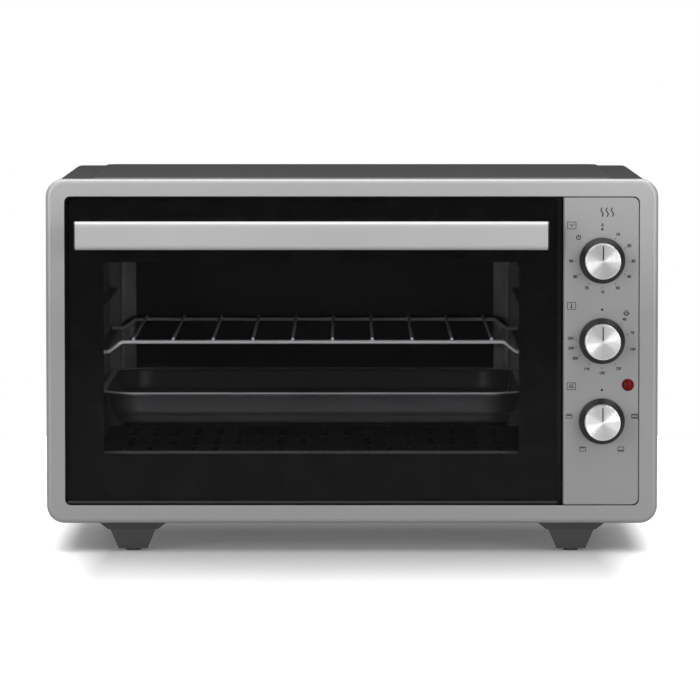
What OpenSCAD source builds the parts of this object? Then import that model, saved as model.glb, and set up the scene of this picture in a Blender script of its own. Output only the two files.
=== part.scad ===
// Countertop toaster oven: steel body, glass drop-down door with a bar handle, wire rack, baking
// tray, and a control panel with a timer, a thermostat, a function selector and a pilot lamp.
// X runs to the right seen from the front, Y to the back, Z up. The feet stand on Z = 0 and the
// origin is under the middle of the whole object. A depth d is measured back from the bezel's face.

/* [Body] */
// Width over the front bezel
body_w = 520; // [512:1:530]
// Depth from the bezel's face to the rear cover
body_d = 380; // [374:1:400]
// Height of the bezel's top edge
bezel_top = 317.4; // [316:0.1:322]
// Height of the feet
foot_h = 24.5; // [22:0.5:28]
// Width over the outer shell
shell_w = 511; // [508:0.5:512]
// Height of the outer shell's flat top
shell_top = 316; // [315:0.1:317]
// Height of the raised panel on the top
crown_h = 2; // [1:0.5:4]
// Sheet thickness of shell, covers and cavity
sheet_t = 0.8; // [0.6:0.1:1]

/* [Front bezel] */
// Depth of the bezel's skirt
bezel_d = 14; // [10:1:16]
// Wall thickness of the bezel
bezel_t = 2.5; // [2:0.1:2.5]
// Outer corner radius of the bezel
bezel_r = 15; // [12:1:18]
// Radius of the bezel's front edge
bezel_edge_r = 4; // [3:0.5:5]
// Width of the bezel's side bars
bezel_side = 15.8; // [15:0.1:17]
// Top edge of the bottom bar
bezel_low = 39.8; // [39:0.1:40]
// Bottom edge of the top bar
bezel_high = 303; // [302.5:0.1:304]

/* [Oven cavity] */
// Centre line of the cavity and the door
cavity_x = -33.7; // [-36:0.1:-32]
// Inner width of the cavity
cavity_w = 374; // [370:1:376]
// Height of the cavity floor
cavity_low = 79; // [76:0.5:81]
// Height of the cavity ceiling
cavity_high = 285; // [280:0.5:290]
// Depth of the front frame's face
mouth_d = 22; // [22:0.5:24]
// Depth of the cavity's back wall
cavity_back_d = 345; // [340:1:350]
// How far the shelf ribs stand out from the side walls
rib_out = 8; // [7:0.5:9]

/* [Door] */
// Width of the door glass
door_w = 416.6; // [414:0.1:418]
// Lowest edge of the door
door_low = 41.3; // [41:0.1:42]
// Top edge of the door
door_high = 300.9; // [300:0.1:302]
// How far the glass is set back from the bezel's face
door_recess = 3; // [3:0.1:4]
// Thickness of the outer glass
glass_t = 4; // [3:0.5:4]
// Width of the window
window_w = 354; // [350:1:360]
// Lower edge of the window
window_low = 83.3; // [82:0.1:86]
// Upper edge of the window
window_high = 246.6; // [244:0.1:250]
// Depth of the hinge axis
hinge_d = 12; // [11.5:0.1:12.5]
// Height of the hinge axis
hinge_z = 50; // [49.5:0.1:51]
// Radius of the hinge pins
pin_r = 3; // [2.5:0.1:3]

/* [Handle] */
// Length of the handle over its end pieces
handle_l = 400.4; // [380:0.1:410]
// Height of the handle's centre line
handle_z = 271; // [265:0.5:280]
// Height of the handle bar's section
handle_h = 24; // [20:0.5:28]
// Depth of the handle bar's section
handle_t = 13; // [10:0.5:14]
// How far the handle stands out from the glass
handle_out = 40; // [36:0.5:42]

/* [Controls] */
// Width of the control panel
panel_w = 63.7; // [63:0.1:64]
// Centre line of the knobs
knob_x = 212.4; // [211:0.1:214]
// Height of the middle knob
knob_mid_z = 180.1; // [178:0.1:182]
// Distance from one knob to the next
knob_pitch = 68.4; // [66:0.1:70]
// Radius of the knob's skirt
skirt_r = 19.45; // [18:0.05:20]
// Radius of the knob's cap
cap_r = 15; // [14:0.1:15.5]
// How far the knobs stand out from the panel
knob_out = 21; // [18:0.5:24]
// Radius of the control shafts
shaft_r = 3; // [2.5:0.1:3]
// Radius of the pilot lamp's lens
lamp_r = 5.25; // [4.5:0.05:5.5]

/* [Rack and tray] */
// Width of the rack and depth of its wires
rack_w = 369; // [366:0.5:370]
// Height of the rack's cross wires
rack_z = 177.3; // [176:0.1:180]
// Radius of the cross wires
cross_wire_r = 1.7; // [1.5:0.1:2]
// Radius of the long wires
long_wire_r = 1.25; // [1:0.05:1.5]
// Number of long wires
long_wires = 10; // [8:1:12]
// Width of the baking tray
tray_w = 368; // [364:0.5:369]
// Depth of the baking tray from front to back
tray_l = 301; // [290:1:306]
// Height of the tray's rim
tray_z = 133.7; // [132:0.1:136]
// Depth of the tray's basin
tray_deep = 26; // [22:0.5:28]

/* [Hidden] */
$fn = 48;

gap = 0.2;                                   // room between pieces that are bolted together
far = 2;                                     // how far a cutting tool runs past a face
gland_out = 5;                               // how far the cord gland stands out at the back
face_y = -(body_d + gland_out + door_recess - handle_out) / 2;

// body
bezel_band = 6;                              // width of the bezel's rounded outer edge
shell_d = bezel_d;                           // the shell starts behind the bezel
shell_back_d = body_d - 1;                   // and ends against the rear cover
shell_r = 9;
crown_w = 452;
crown_front_d = 24;
crown_back_d = 360;
crown_r = 14;
crown_slope = 4;
crown_band = 8;
base_t = 1;
base_slope_w = 4;                            // the base is bent up on a slope at its sides
base_slope_h = 3;
base_flange_h = 20;
shell_low = foot_h + base_slope_h + 1;       // the shell ends above the slope
base_top = foot_h + base_t;
foot_x = 186.8;
foot_l = 32;                                 // a foot's depth from front to back
foot_front_d = 5;                            // where the front feet begin
foot_back_d = body_d - foot_front_d;         // where the rear feet end
foot_pad_from = 15;                          // from a foot's outer end to the middle of its pad
foot_screw_from = 25;                        // and to its screw
foot_pad_r = 6.1;
foot_pad_h = 2;
foot_flange_low = foot_h - 6;                // the flange tapers down to here
foot_flange_w = 56.7;
foot_neck_w = 42;
foot_top_w = 38.5;
foot_bottom_w = 24.6;
foot_screw_r = 2;
foot_screw_l = 12;
foot_screw_ds = [foot_front_d + foot_screw_from, foot_back_d - foot_screw_from];
screw_head_r = 3.6;
screw_head_h = 1.8;
screw_shank_r = 1.6;
cover_screw_x = 244;
cover_screw_low = 40;
cover_screw_high = 303;
shell_screw_ds = [30, 350];
shell_screw_high = 263;

// cavity
cavity_x0 = cavity_x - cavity_w / 2;
cavity_x1 = cavity_x + cavity_w / 2;
frame_x1 = 178.8;                            // right-hand edge of the front frame
frame_t = 0.8;
cavity_d = mouth_d + frame_t;                // depth at which the cavity's walls begin
floor_lip_h = 5.5;
floor_lip_t = 2;
rib_h = 7;
rib_front_d = cavity_d + 3;
rib_back_d = cavity_back_d - 3;
rack_drop = 8.4;                             // how far the rack's ends come down
rack_ear_z = rack_z - rack_drop;
rib_clear = 0.4;                             // room under the rack and the tray
tray_lip_h = 3.5;
rib_tops = [
    tray_z - tray_lip_h - rib_clear,
    rack_ear_z - cross_wire_r - rib_clear,
    206
];
heater_r = 3.2;
heater_ds = [112, 252];
heater_high = 269;
heater_low_z = 56;
heater_pin_r = 1.5;
insulator_r = 6;
insulator_bore_r = heater_r + 0.1;
insulator_out = 5;
heater_end = 11;                             // how far a heater's pins run past the wall
baffle_x = 172;

// door
door_x0 = cavity_x - door_w / 2;
door_x1 = cavity_x + door_w / 2;
trim_h = 2.1;
glass_d = door_recess;
glass_back_d = glass_d + glass_t;
glass_low = door_low + trim_h;
frame_inset = 11;                            // the door's steel frame is narrower than its glass
frame_front_d = glass_back_d + 0.3;
frame_back_d = 19;
frame_sheet = 1;
inner_glass_t = 3;
pin_clear = 0.05;                            // radial running clearance
bracket_gap = 5;
bracket_t = 2;
arm_r = 38;
arm_band = 8;
arm_t = 2;
arm_from = 11;                               // angles from straight up, back and down
arm_to = 110;
arm_x = frame_inset + 1.1;                   // from the glass's edge to the arm's outer face
arm_foot_t = 1.2;
spring_r = 3.6;
spring_wire_r = 0.8;
spring_side = 4.6;                           // from the arm's outer face to the spring's axis
spring_hole_r = 1.6;
spring_anchor_d = 140;
spring_anchor_z = 50;
spring_angle = 104;
anchor_t = 1.5;

// handle
handle_x0 = cavity_x - handle_l / 2 - 0.5;
handle_x1 = handle_x0 + handle_l;
handle_cap_t = 1;
handle_front_d = door_recess - handle_out;
handle_back_d = handle_front_d + handle_t;
handle_edge_r = 5.5;
leg_w = 16;
leg_h = 16;
leg_inset = 13;                              // from the handle's end to the middle of the leg
handle_screw_l = 14;

// controls
panel_x0 = 179.6;
panel_x1 = panel_x0 + panel_w;
panel_low = bezel_low + 1;
panel_high = bezel_high - 1;
panel_t = 1.5;
panel_r = 5;
panel_bend_r = 2.5;
bracket_d = 12;
bracket_sheet = 1.2;
unit_d = bracket_d + bracket_sheet;          // depth at which the control units begin
bush_r = 4.8;
shaft_bore_r = shaft_r + 0.05;
shaft_flat = 1.9;                            // from the shaft's axis to its flat
shaft_front_d = -14;
shaft_back_d = unit_d + 14;
knob_gap = 1;
skirt_h = 4.5;
cap_back_d = -knob_gap - skirt_h - 1.5;
cap_t = 1;
hub_r = 6;
lamp_x = 234.5;
lamp_z = 142.7;
lamp_dome_h = 2.6;

// the thermostat's sensing bulb and its capillary
bulb_x = cavity_x1 - 5.5;
bulb_z = 236;
bulb_r = 2.6;
bulb_front_d = 120;
bulb_back_d = 196;
capillary_d = 214;
capillary_r = 1;

// rear and wiring
block_front_d = 330;                         // the terminal block
block_back_d = 346;
block_top = base_top + 30;
gland_x = 214;
gland_z = 60;
gland_bore_r = 3.6;
gland_body_r = 7;
gland_flange_r = 10;
gland_inner_l = 12;

// rack and tray
rod_sink = 0.4;                              // the rods are welded this deep into the wires below
rod_end = 1.5;                               // how far the rods run past the cross wires
rack_front_d = 29;
rack_back_d = 339;
rack_ear_l = 10;                             // from the rack's end to the foot of its slope
rack_slope_x = rack_ear_l + rack_drop * 4 / 3;
rack_bend_r = 6;
wire_pitch = 34;
tray_t = 0.8;
tray_front_d = 30;
tray_r = 40;

knob_zs = [knob_mid_z + knob_pitch, knob_mid_z, knob_mid_z - knob_pitch];

// A box between two depths behind the bezel's face, given by its limits
module block(x0, x1, d0, d1, z0, z1)
    translate([x0, face_y + d0, z0]) cube([x1 - x0, d1 - d0, z1 - z0]);

// A round bar along Y, from depth d0 to depth d1
module bar_y(x, z, r, d0, d1)
    translate([x, face_y + d0, z]) rotate([-90, 0, 0]) cylinder(r = r, h = d1 - d0);

// A round bar along X
module bar_x(x0, x1, d, z, r)
    translate([x0, face_y + d, z]) rotate([0, 90, 0]) cylinder(r = r, h = x1 - x0);

// A round bar along Z
module bar_z(x, d, z0, z1, r)
    translate([x, face_y + d, z0]) cylinder(r = r, h = z1 - z0);

// A rectangle with round corners, drawn flat
module rounded_rect(x0, x1, y0, y1, r) {
    translate([x0 + r, y0]) square([x1 - x0 - 2 * r, y1 - y0]);
    translate([x0, y0 + r]) square([x1 - x0, y1 - y0 - 2 * r]);
    for (x = [x0 + r, x1 - r], y = [y0 + r, y1 - r]) translate([x, y]) circle(r);
}

// Turns an outline drawn in X and Z into a sheet from depth d0 to depth d1
module upright(d0, d1)
    translate([0, face_y + d1, 0]) rotate([90, 0, 0]) linear_extrude(d1 - d0) children();

// Turns an outline drawn in depth and Z into a plate from x0 to x1
module sideways(x0, x1)
    translate([x0, face_y, 0]) rotate([90, 0, 90]) linear_extrude(x1 - x0) children();

// Carries a profile round a rounded rectangle. The profile's x runs outwards from the centres of
// the corners, so its outer edge is at x = r.
module round_rim(w, l, r) {
    corners = [[1, 1], [-1, 1], [-1, -1], [1, -1]];
    for (k = [0 : 3]) {
        translate([corners[k][0] * (w / 2 - r), corners[k][1] * (l / 2 - r), 0])
            rotate(90 * k) rotate_extrude(angle = 90) children();
        along = (k % 2 == 0 ? l : w) - 2 * r;
        across = (k % 2 == 0 ? w : l) / 2 - r;
        rotate(90 * k) translate([across, along / 2, 0])
            rotate([90, 0, 0]) linear_extrude(along) children();
    }
}

// A round bar between two points
module rod(a, b, r) {
    v = b - a;
    translate(a) rotate([0, acos(v[2] / norm(v)), atan2(v[1], v[0])]) cylinder(r = r, h = norm(v));
}

// A wire bent at every inner point of its path
module bent_wire(path, r) {
    for (i = [0 : len(path) - 2]) rod(path[i], path[i + 1], r);
    for (i = [1 : len(path) - 2]) translate(path[i]) sphere(r);
}

// A wire in an upright plane at depth d, bent on a radius at every inner point of its path, which
// is given in X and Z
module curved_wire(path, d, r, bend) {
    last = len(path) - 1;
    dirs = [for (i = [0 : last - 1]) (path[i + 1] - path[i]) / norm(path[i + 1] - path[i])];
    turns = [for (i = [1 : last - 1]) atan2(cross(dirs[i - 1], dirs[i]), dirs[i - 1] * dirs[i])];
    cuts = concat([0], [for (turn = turns) bend * tan(abs(turn) / 2)], [0]);
    for (i = [0 : last - 1]) {
        a = path[i] + cuts[i] * dirs[i];
        b = path[i + 1] - cuts[i + 1] * dirs[i];
        rod(at(a[0], d, a[1]), at(b[0], d, b[1]), r);
    }
    for (i = [1 : last - 1]) {
        turn = turns[i - 1];
        out = sign(turn) * [dirs[i - 1][1], -dirs[i - 1][0]];
        centre = path[i] - cuts[i] * dirs[i - 1] - bend * out;
        from = atan2(out[1], out[0]) + min(turn, 0);
        translate(at(centre[0], d, centre[1])) rotate([90, 0, 0]) rotate(from)
            rotate_extrude(angle = abs(turn)) translate([bend, 0]) circle(r);
    }
}

// A point given by its depth behind the bezel's face
function at(x, d, z) = [x, face_y + d, z];

// An upright slot with round ends through a sheet that faces front or back
module slot_y(x, z, w, h, d0, d1)
    upright(d0, d1) rounded_rect(x - w / 2, x + w / 2, z - h / 2, z + h / 2, w / 2 - 0.01);

// ---------------------------------------------------------------- outer body

// Section of the bezel's rim: a rounded front edge that runs back into a skirt
module bezel_section() {
    difference() {
        union() {
            translate([bezel_r - bezel_edge_r, -bezel_edge_r]) circle(bezel_edge_r);
            translate([bezel_r - bezel_band, -bezel_t])
                square([bezel_band - bezel_edge_r, bezel_t]);
            translate([bezel_r - bezel_t, -bezel_d]) square([bezel_t, bezel_d - bezel_edge_r]);
        }
        translate([bezel_r - bezel_band - far, -bezel_d - far])
            square([bezel_band + far - bezel_t, bezel_d + far - bezel_t]);
    }
}

module front_bezel() {
    h = bezel_top - foot_h;
    inner_x = body_w / 2 - bezel_band;
    color("silver") {
        translate([0, face_y, foot_h + h / 2]) rotate([90, 0, 0])
            round_rim(body_w, h, bezel_r) bezel_section();
        upright(0, bezel_t) difference() {
            rounded_rect(-inner_x, inner_x, foot_h + bezel_band, bezel_top - bezel_band,
                bezel_r - bezel_band);
            rounded_rect(-body_w / 2 + bezel_side, body_w / 2 - bezel_side, bezel_low, bezel_high,
                panel_r);
        }
    }
}

// The shell's outline seen from the front, open at the bottom
module shell_outline(inset, low) {
    half = shell_w / 2 - inset;
    top = shell_top - inset;
    r = shell_r - inset;
    translate([-half, low]) square([2 * half, top - r - low]);
    translate([r - half, low]) square([2 * (half - r), top - low]);
    for (side = [-1, 1]) translate([side * (half - r), top - r]) circle(r);
}

// Section of the slope round the raised panel
module crown_section() {
    polygon([
        [crown_r, 0], [crown_r - crown_slope, crown_h], [crown_r - crown_band, crown_h],
        [crown_r - crown_band, crown_h - sheet_t], [crown_r - crown_slope - 0.3, crown_h - sheet_t],
        [crown_r - 0.3, -sheet_t], [crown_r, -sheet_t]
    ]);
}

module outer_shell() {
    crown_l = crown_back_d - crown_front_d;
    crown_y = face_y + (crown_front_d + crown_back_d) / 2;
    vent_pitch = 9;
    color([0.27, 0.27, 0.28]) {
        difference() {
            upright(shell_d, shell_back_d) difference() {
                shell_outline(0, shell_low);
                shell_outline(sheet_t, shell_low - far);
            }
            translate([0, crown_y, shell_top - far]) linear_extrude(2 * far)
                rounded_rect(-crown_w / 2, crown_w / 2, -crown_l / 2, crown_l / 2, crown_r);
            for (side = [-1, 1], i = [0 : 11])
                sideways(side * shell_w / 2 - far, side * shell_w / 2 + far)
                    rounded_rect(232 + i * vent_pitch, 236 + i * vent_pitch, 250, 284, 1.9);
            for (side = [-1, 1], z = [cover_screw_low, shell_screw_high], d = shell_screw_ds)
                bar_x(side * shell_w / 2 - far, side * shell_w / 2 + far, d, z, screw_shank_r + gap);
        }
        translate([0, crown_y, shell_top]) {
            round_rim(crown_w, crown_l, crown_r) crown_section();
            translate([0, 0, crown_h - sheet_t]) linear_extrude(sheet_t)
                rounded_rect(crown_band - crown_w / 2, crown_w / 2 - crown_band,
                    crown_band - crown_l / 2, crown_l / 2 - crown_band, crown_r - crown_band);
        }
    }
}

module rear_cover() {
    flange_l = 12;
    color([0.3, 0.3, 0.31]) difference() {
        union() {
            upright(shell_back_d, body_d) shell_outline(0, foot_h);
            upright(shell_back_d - flange_l, shell_back_d) difference() {
                shell_outline(sheet_t + gap, base_top + gap);
                shell_outline(2 * sheet_t + gap, base_top - far);
            }
        }
        for (row = [0 : 2], i = [0 : 17])
            slot_y(-150 + i * 14, 205 + row * 34, 4, 26, shell_back_d - far, body_d + far);
        for (i = [0 : 4])
            slot_y(186 + i * 13, 100, 4, 26, shell_back_d - far, body_d + far);
        bar_y(gland_x, gland_z, gland_body_r + 0.1, shell_back_d - far, body_d + far);
        for (x = [-cover_screw_x, 0, cover_screw_x], z = [cover_screw_low, cover_screw_high])
            bar_y(x, z, screw_shank_r + gap, shell_back_d - far, body_d + far);
    }
}

// The base seen from the front: flat, with its sides bent up
module base_outline(half, top) {
    slope_top = foot_h + base_slope_h;
    inner = half - base_t;
    bend = half - base_slope_w;
    polygon([
        [-half, top], [-half, slope_top], [-bend, foot_h], [bend, foot_h], [half, slope_top],
        [half, top], [inner, top], [inner, slope_top + 0.5], [bend - 0.5, base_top],
        [0.5 - bend, base_top], [-inner, slope_top + 0.5], [-inner, top]
    ]);
}

module base_plate() {
    half = shell_w / 2 - sheet_t - gap;
    floor_x1 = half - base_slope_w;
    color("gray") difference() {
        union() {
            block(-floor_x1, floor_x1, bezel_d + gap, shell_back_d - gap, foot_h, base_top);
            upright(bezel_d + gap, mouth_d - gap) base_outline(half, shell_low + 2);
            upright(mouth_d + far, shell_back_d - 16) base_outline(half, foot_h + base_flange_h);
            for (side = [-1, 1]) {
                x = spring_anchor_x(side);
                block(x - anchor_t / 2, x + anchor_t / 2, spring_anchor_d - 5, spring_anchor_d + 5,
                    base_top, spring_anchor_z + 5);
            }
        }
        for (x = [-foot_x, foot_x], d = foot_screw_ds)
            bar_z(x, d, foot_h - far, base_top + far, foot_screw_r + gap);
        for (side = [-1, 1])
            bar_x(spring_anchor_x(side) - far, spring_anchor_x(side) + far, spring_anchor_d,
                spring_anchor_z, spring_hole_r);
        for (side = [-1, 1], d = shell_screw_ds)
            bar_x(side * half - far, side * half + far, d, cover_screw_low, screw_shank_r + gap);
        for (i = [0 : 9], d = [90, 200, 290])
            block(-170 + i * 30, -166 + i * 30, d, d + 40, foot_h - far, base_top + far);
    }
}

// A moulded foot: a flange under the body, a tapered block and a round pad. The foot's outer end is
// at depth d, and way is 1 where it runs back from there and -1 where it runs to the front.
module foot(x, d, way) {
    pad_top = foot_pad_h;
    inner = d + way * foot_l;
    color([0.22, 0.22, 0.23]) difference() {
        union() {
            intersection() {
                upright(min(d, inner), max(d, inner)) translate([x, 0]) polygon([
                    [-foot_bottom_w / 2, pad_top], [foot_bottom_w / 2, pad_top],
                    [foot_top_w / 2, foot_flange_low], [foot_neck_w / 2, foot_flange_low],
                    [foot_flange_w / 2, foot_h], [-foot_flange_w / 2, foot_h],
                    [-foot_neck_w / 2, foot_flange_low], [-foot_top_w / 2, foot_flange_low]
                ]);
                sideways(x - foot_flange_w / 2, x + foot_flange_w / 2) polygon([
                    [d, foot_h], [d + way * 3, foot_flange_low], [d + way * 6, pad_top],
                    [inner - way * 3, pad_top], [inner, foot_flange_low], [inner, foot_h]
                ]);
            }
            bar_z(x, d + way * foot_pad_from, 0, pad_top, foot_pad_r);
        }
        bar_z(x, d + way * foot_screw_from, foot_h - foot_screw_l - 1, foot_h + far, foot_screw_r);
    }
}

module foot_screws() {
    color("silver") for (x = [-foot_x, foot_x], d = foot_screw_ds) {
        bar_z(x, d, foot_h - foot_screw_l, base_top, foot_screw_r - 0.02);
        bar_z(x, d, base_top, base_top + screw_head_h, screw_head_r);
    }
}

module cover_screws() {
    slot_w = 0.8;
    color("silver") {
        for (x = [-cover_screw_x, 0, cover_screw_x], z = [cover_screw_low, cover_screw_high])
            difference() {
                union() {
                    bar_y(x, z, screw_shank_r, shell_back_d - 8, body_d);
                    bar_y(x, z, screw_head_r, body_d, body_d + screw_head_h);
                }
                block(x - slot_w / 2, x + slot_w / 2, body_d + screw_head_h - 0.9,
                    body_d + far, z - 3, z + 3);
            }
        for (side = [-1, 1], d = shell_screw_ds, z = [cover_screw_low, shell_screw_high]) {
            outer = side * shell_w / 2;
            bar_x(min(outer, outer - side * 7), max(outer, outer - side * 7), d, z, screw_shank_r);
            bar_x(min(outer, outer + side * screw_head_h), max(outer, outer + side * screw_head_h),
                d, z, screw_head_r);
        }
    }
}

// ---------------------------------------------------------------- cavity

module front_frame() {
    half = shell_w / 2 - sheet_t - gap;
    top = shell_top - sheet_t - gap;
    flange_l = 14;
    arm_low = hinge_z + arm_r - 7.2;
    arm_high = hinge_z + arm_r + 4.2;
    color([0.3, 0.3, 0.31]) difference() {
        union() {
            upright(mouth_d, cavity_d) rounded_rect(-half, frame_x1, base_top + gap, top, 8);
            block(-half + 8, frame_x1 - 8, cavity_d, cavity_d + flange_l, top - sheet_t, top);
            block(-half, -half + sheet_t, cavity_d, cavity_d + flange_l, 60, top - 8);
        }
        block(cavity_x0, cavity_x1, mouth_d - far, cavity_d + far, cavity_low - sheet_t, cavity_high);
        for (side = [-1, 1]) {
            x = arm_mid_x(side);
            block(x - 2.3, x + 2.3, mouth_d - far, cavity_d + far, arm_low, arm_high);
        }
        bar_x(-half - far, far - half, shell_screw_ds[0], shell_screw_high, screw_shank_r + gap);
    }
}

module cavity_roof() {
    ridge_pitch = 56;
    ridge_w = 6;
    ridge_h = 2;
    color([0.25, 0.24, 0.23]) {
        block(cavity_x0 - sheet_t, cavity_x1 + sheet_t, cavity_d, cavity_back_d + sheet_t,
            cavity_high, cavity_high + sheet_t);
        // stiffening ridges pressed into the top
        for (i = [-2 : 2]) {
            x = cavity_x + i * ridge_pitch;
            block(x - ridge_w / 2, x + ridge_w / 2, 60, 310, cavity_high + sheet_t,
                cavity_high + sheet_t + ridge_h);
        }
    }
}

// Section of one shelf rib, pressed out of the wall: depth into the cavity by height
module rib_section() {
    t = sheet_t;
    difference() {
        polygon([[0, 0], [rib_out - 1, 0], [rib_out, -1], [rib_out, -2.5], [0, -rib_h]]);
        polygon([[-far, -t], [rib_out - 1.4, -t], [rib_out - t, -1.4], [rib_out - t, -2.1],
            [0, 1.1 - rib_h], [-far, 1.1 - rib_h]]);
    }
}

// A side wall of the cavity; side is -1 on the left and 1 on the right
module cavity_wall(side) {
    inner = side < 0 ? cavity_x0 : cavity_x1;
    outer = inner + side * sheet_t;
    color([0.25, 0.24, 0.23]) difference() {
        union() {
            block(min(inner, outer), max(inner, outer), cavity_d, cavity_back_d, base_top,
                cavity_high);
            for (z = rib_tops)
                translate([inner, face_y + rib_back_d, z]) rotate([90, 0, 0])
                    linear_extrude(rib_back_d - rib_front_d) mirror([side < 0 ? 0 : 1, 0, 0])
                        rib_section();
        }
        for (d = heater_ds, z = [heater_low_z, heater_high])
            bar_x(inner - far, inner + far, d, z, insulator_r + 0.1);
        if (side > 0) bar_x(inner - far, inner + far, capillary_d, bulb_z, 1.6);
    }
}

module cavity_back() {
    margin = 11;
    press = 4;
    slope = 13;
    x0 = cavity_x0 + margin;
    x1 = cavity_x1 - margin;
    z0 = cavity_low + margin;
    z1 = cavity_high - margin;
    w = x1 - x0;
    h = z1 - z0;
    r = slope + 8;
    color([0.25, 0.24, 0.23]) {
        upright(cavity_back_d, cavity_back_d + sheet_t) difference() {
            translate([cavity_x0 - sheet_t, base_top])
                square([cavity_w + 2 * sheet_t, cavity_high - base_top]);
            rounded_rect(x0, x1, z0, z1, r);
        }
        // the middle is pressed back behind a sloping band
        translate([cavity_x, face_y + cavity_back_d, (z0 + z1) / 2]) rotate([90, 0, 0])
            round_rim(w, h, r) polygon([
                [r, 0], [r - slope, -press], [r - slope, -press - sheet_t],
                [r - slope + 0.3, -press - sheet_t], [r, -sheet_t]
            ]);
        upright(cavity_back_d + press, cavity_back_d + press + sheet_t)
            rounded_rect(x0 + slope, x1 - slope, z0 + slope, z1 - slope, r - slope);
    }
}

module cavity_floor() {
    rows = 3;
    slots = 18;
    slot_l = 74;
    row_gap = 24;
    slot_pitch = 19;
    color([0.3, 0.3, 0.31]) difference() {
        union() {
            block(cavity_x0 + gap, cavity_x1 - gap, mouth_d, cavity_back_d - gap,
                cavity_low - sheet_t, cavity_low);
            block(cavity_x0 + gap, cavity_x1 - gap, mouth_d, mouth_d + floor_lip_t, cavity_low,
                cavity_low + floor_lip_h - floor_lip_t / 2);
            bar_x(cavity_x0 + gap, cavity_x1 - gap, mouth_d + floor_lip_t / 2,
                cavity_low + floor_lip_h - floor_lip_t / 2, floor_lip_t / 2);
        }
        for (row = [0 : rows - 1], i = [0 : slots - 1]) {
            x = cavity_x + (i - (slots - 1) / 2) * slot_pitch;
            d0 = 50 + row * (slot_l + row_gap);
            translate([0, face_y, cavity_low - far]) linear_extrude(2 * far)
                rounded_rect(x - 3, x + 3, d0, d0 + slot_l, 2.9);
        }
    }
}

module control_baffle() {
    color("silver") difference() {
        block(baffle_x, baffle_x + sheet_t, cavity_d + gap, shell_back_d - 14, base_top + 18,
            shell_top - 18);
        bar_x(baffle_x - far, baffle_x + far, capillary_d, bulb_z, 3);
        block(baffle_x - far, baffle_x + far, 180, 200, base_top + 40, base_top + 60);
    }
}

// A tubular heater across the cavity with a connecting pin at each end
module heater(d, z) {
    color([0.55, 0.53, 0.5]) {
        bar_x(cavity_x0 - 6, cavity_x1 + 6, d, z, heater_r);
        bar_x(cavity_x0 - heater_end, cavity_x0 - 6, d, z, heater_pin_r);
        bar_x(cavity_x1 + 6, cavity_x1 + heater_end, d, z, heater_pin_r);
    }
}

// Ceramic bushes that carry the heaters in the side walls
module heater_insulators() {
    flange_t = 1.6;
    color("ivory") for (side = [-1, 1], d = heater_ds, z = [heater_low_z, heater_high]) {
        wall = side < 0 ? cavity_x0 - sheet_t : cavity_x1 + sheet_t;
        tube = [wall - side * (sheet_t + 3), wall + side * insulator_out];
        flange = [wall, wall + side * flange_t];
        difference() {
            union() {
                bar_x(min(tube), max(tube), d, z, insulator_r);
                bar_x(min(flange), max(flange), d, z, insulator_r + 2.5);
            }
            bar_x(min(tube) - far, max(tube) + far, d, z, insulator_bore_r);
        }
    }
}

// ---------------------------------------------------------------- controls

module control_panel() {
    left_flange_l = mouth_d - 4;
    flange_l = bracket_d;
    color([0.62, 0.62, 0.63]) difference() {
        union() {
            upright(0, panel_t) rounded_rect(panel_x0 + panel_r, panel_x1, panel_low, panel_high,
                panel_r);
            block(panel_x0 + panel_bend_r, panel_x0 + 2 * panel_r, 0, panel_t, panel_low,
                panel_high);
            // the left-hand edge is bent back on a radius
            translate([panel_x0 + panel_bend_r, face_y + panel_bend_r, panel_low])
                linear_extrude(panel_high - panel_low) intersection() {
                    difference() {
                        circle(panel_bend_r);
                        circle(panel_bend_r - panel_t);
                    }
                    translate([-panel_bend_r, -panel_bend_r]) square(panel_bend_r);
                }
            block(panel_x0, panel_x0 + panel_t, panel_bend_r, left_flange_l, panel_low, panel_high);
            block(panel_x1 - panel_t, panel_x1, panel_t, flange_l, panel_low + panel_r,
                panel_high - panel_r);
            block(panel_x0 + panel_t, panel_x1 - panel_r, panel_t, flange_l, panel_low,
                panel_low + panel_t);
            block(panel_x0 + panel_t, panel_x1 - panel_r, panel_t, flange_l, panel_high - panel_t,
                panel_high);
        }
        for (z = knob_zs) bar_y(knob_x, z, bush_r + 0.7, -far, panel_t + far);
        bar_y(lamp_x, lamp_z, lamp_r - 0.2, -far, panel_t + far);
    }
}

module control_bracket() {
    color("silver") difference() {
        upright(bracket_d, unit_d)
            rounded_rect(panel_x0 + panel_t + gap, shell_w / 2 - 3, base_top + 3, shell_top - 4, 3);
        for (z = knob_zs) bar_y(knob_x, z, bush_r + 0.2, bracket_d - far, unit_d + far);
        bar_y(lamp_x, lamp_z, 4.9, bracket_d - far, unit_d + far);
    }
}

// The bush and the blind bore that a control's shaft turns in
module shaft_bush(z, body_back_d) {
    difference() {
        union() {
            bar_y(knob_x, z, bush_r, 3.5, unit_d);
            children();
        }
        bar_y(knob_x, z, shaft_bore_r, 3, shaft_back_d + 0.5);
    }
}

module timer_unit() {
    half = 22;
    color([0.75, 0.72, 0.6]) shaft_bush(knob_zs[0]) {
        upright(unit_d, unit_d + 30) rounded_rect(knob_x - half, knob_x + half, knob_zs[0] - half,
            knob_zs[0] + half, 4);
        for (z = [knob_zs[0] - 12, knob_zs[0] + 12])
            block(knob_x - 20, knob_x - 15, unit_d + 30, unit_d + 38, z - 0.4, z + 0.4);
    }
}

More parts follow.
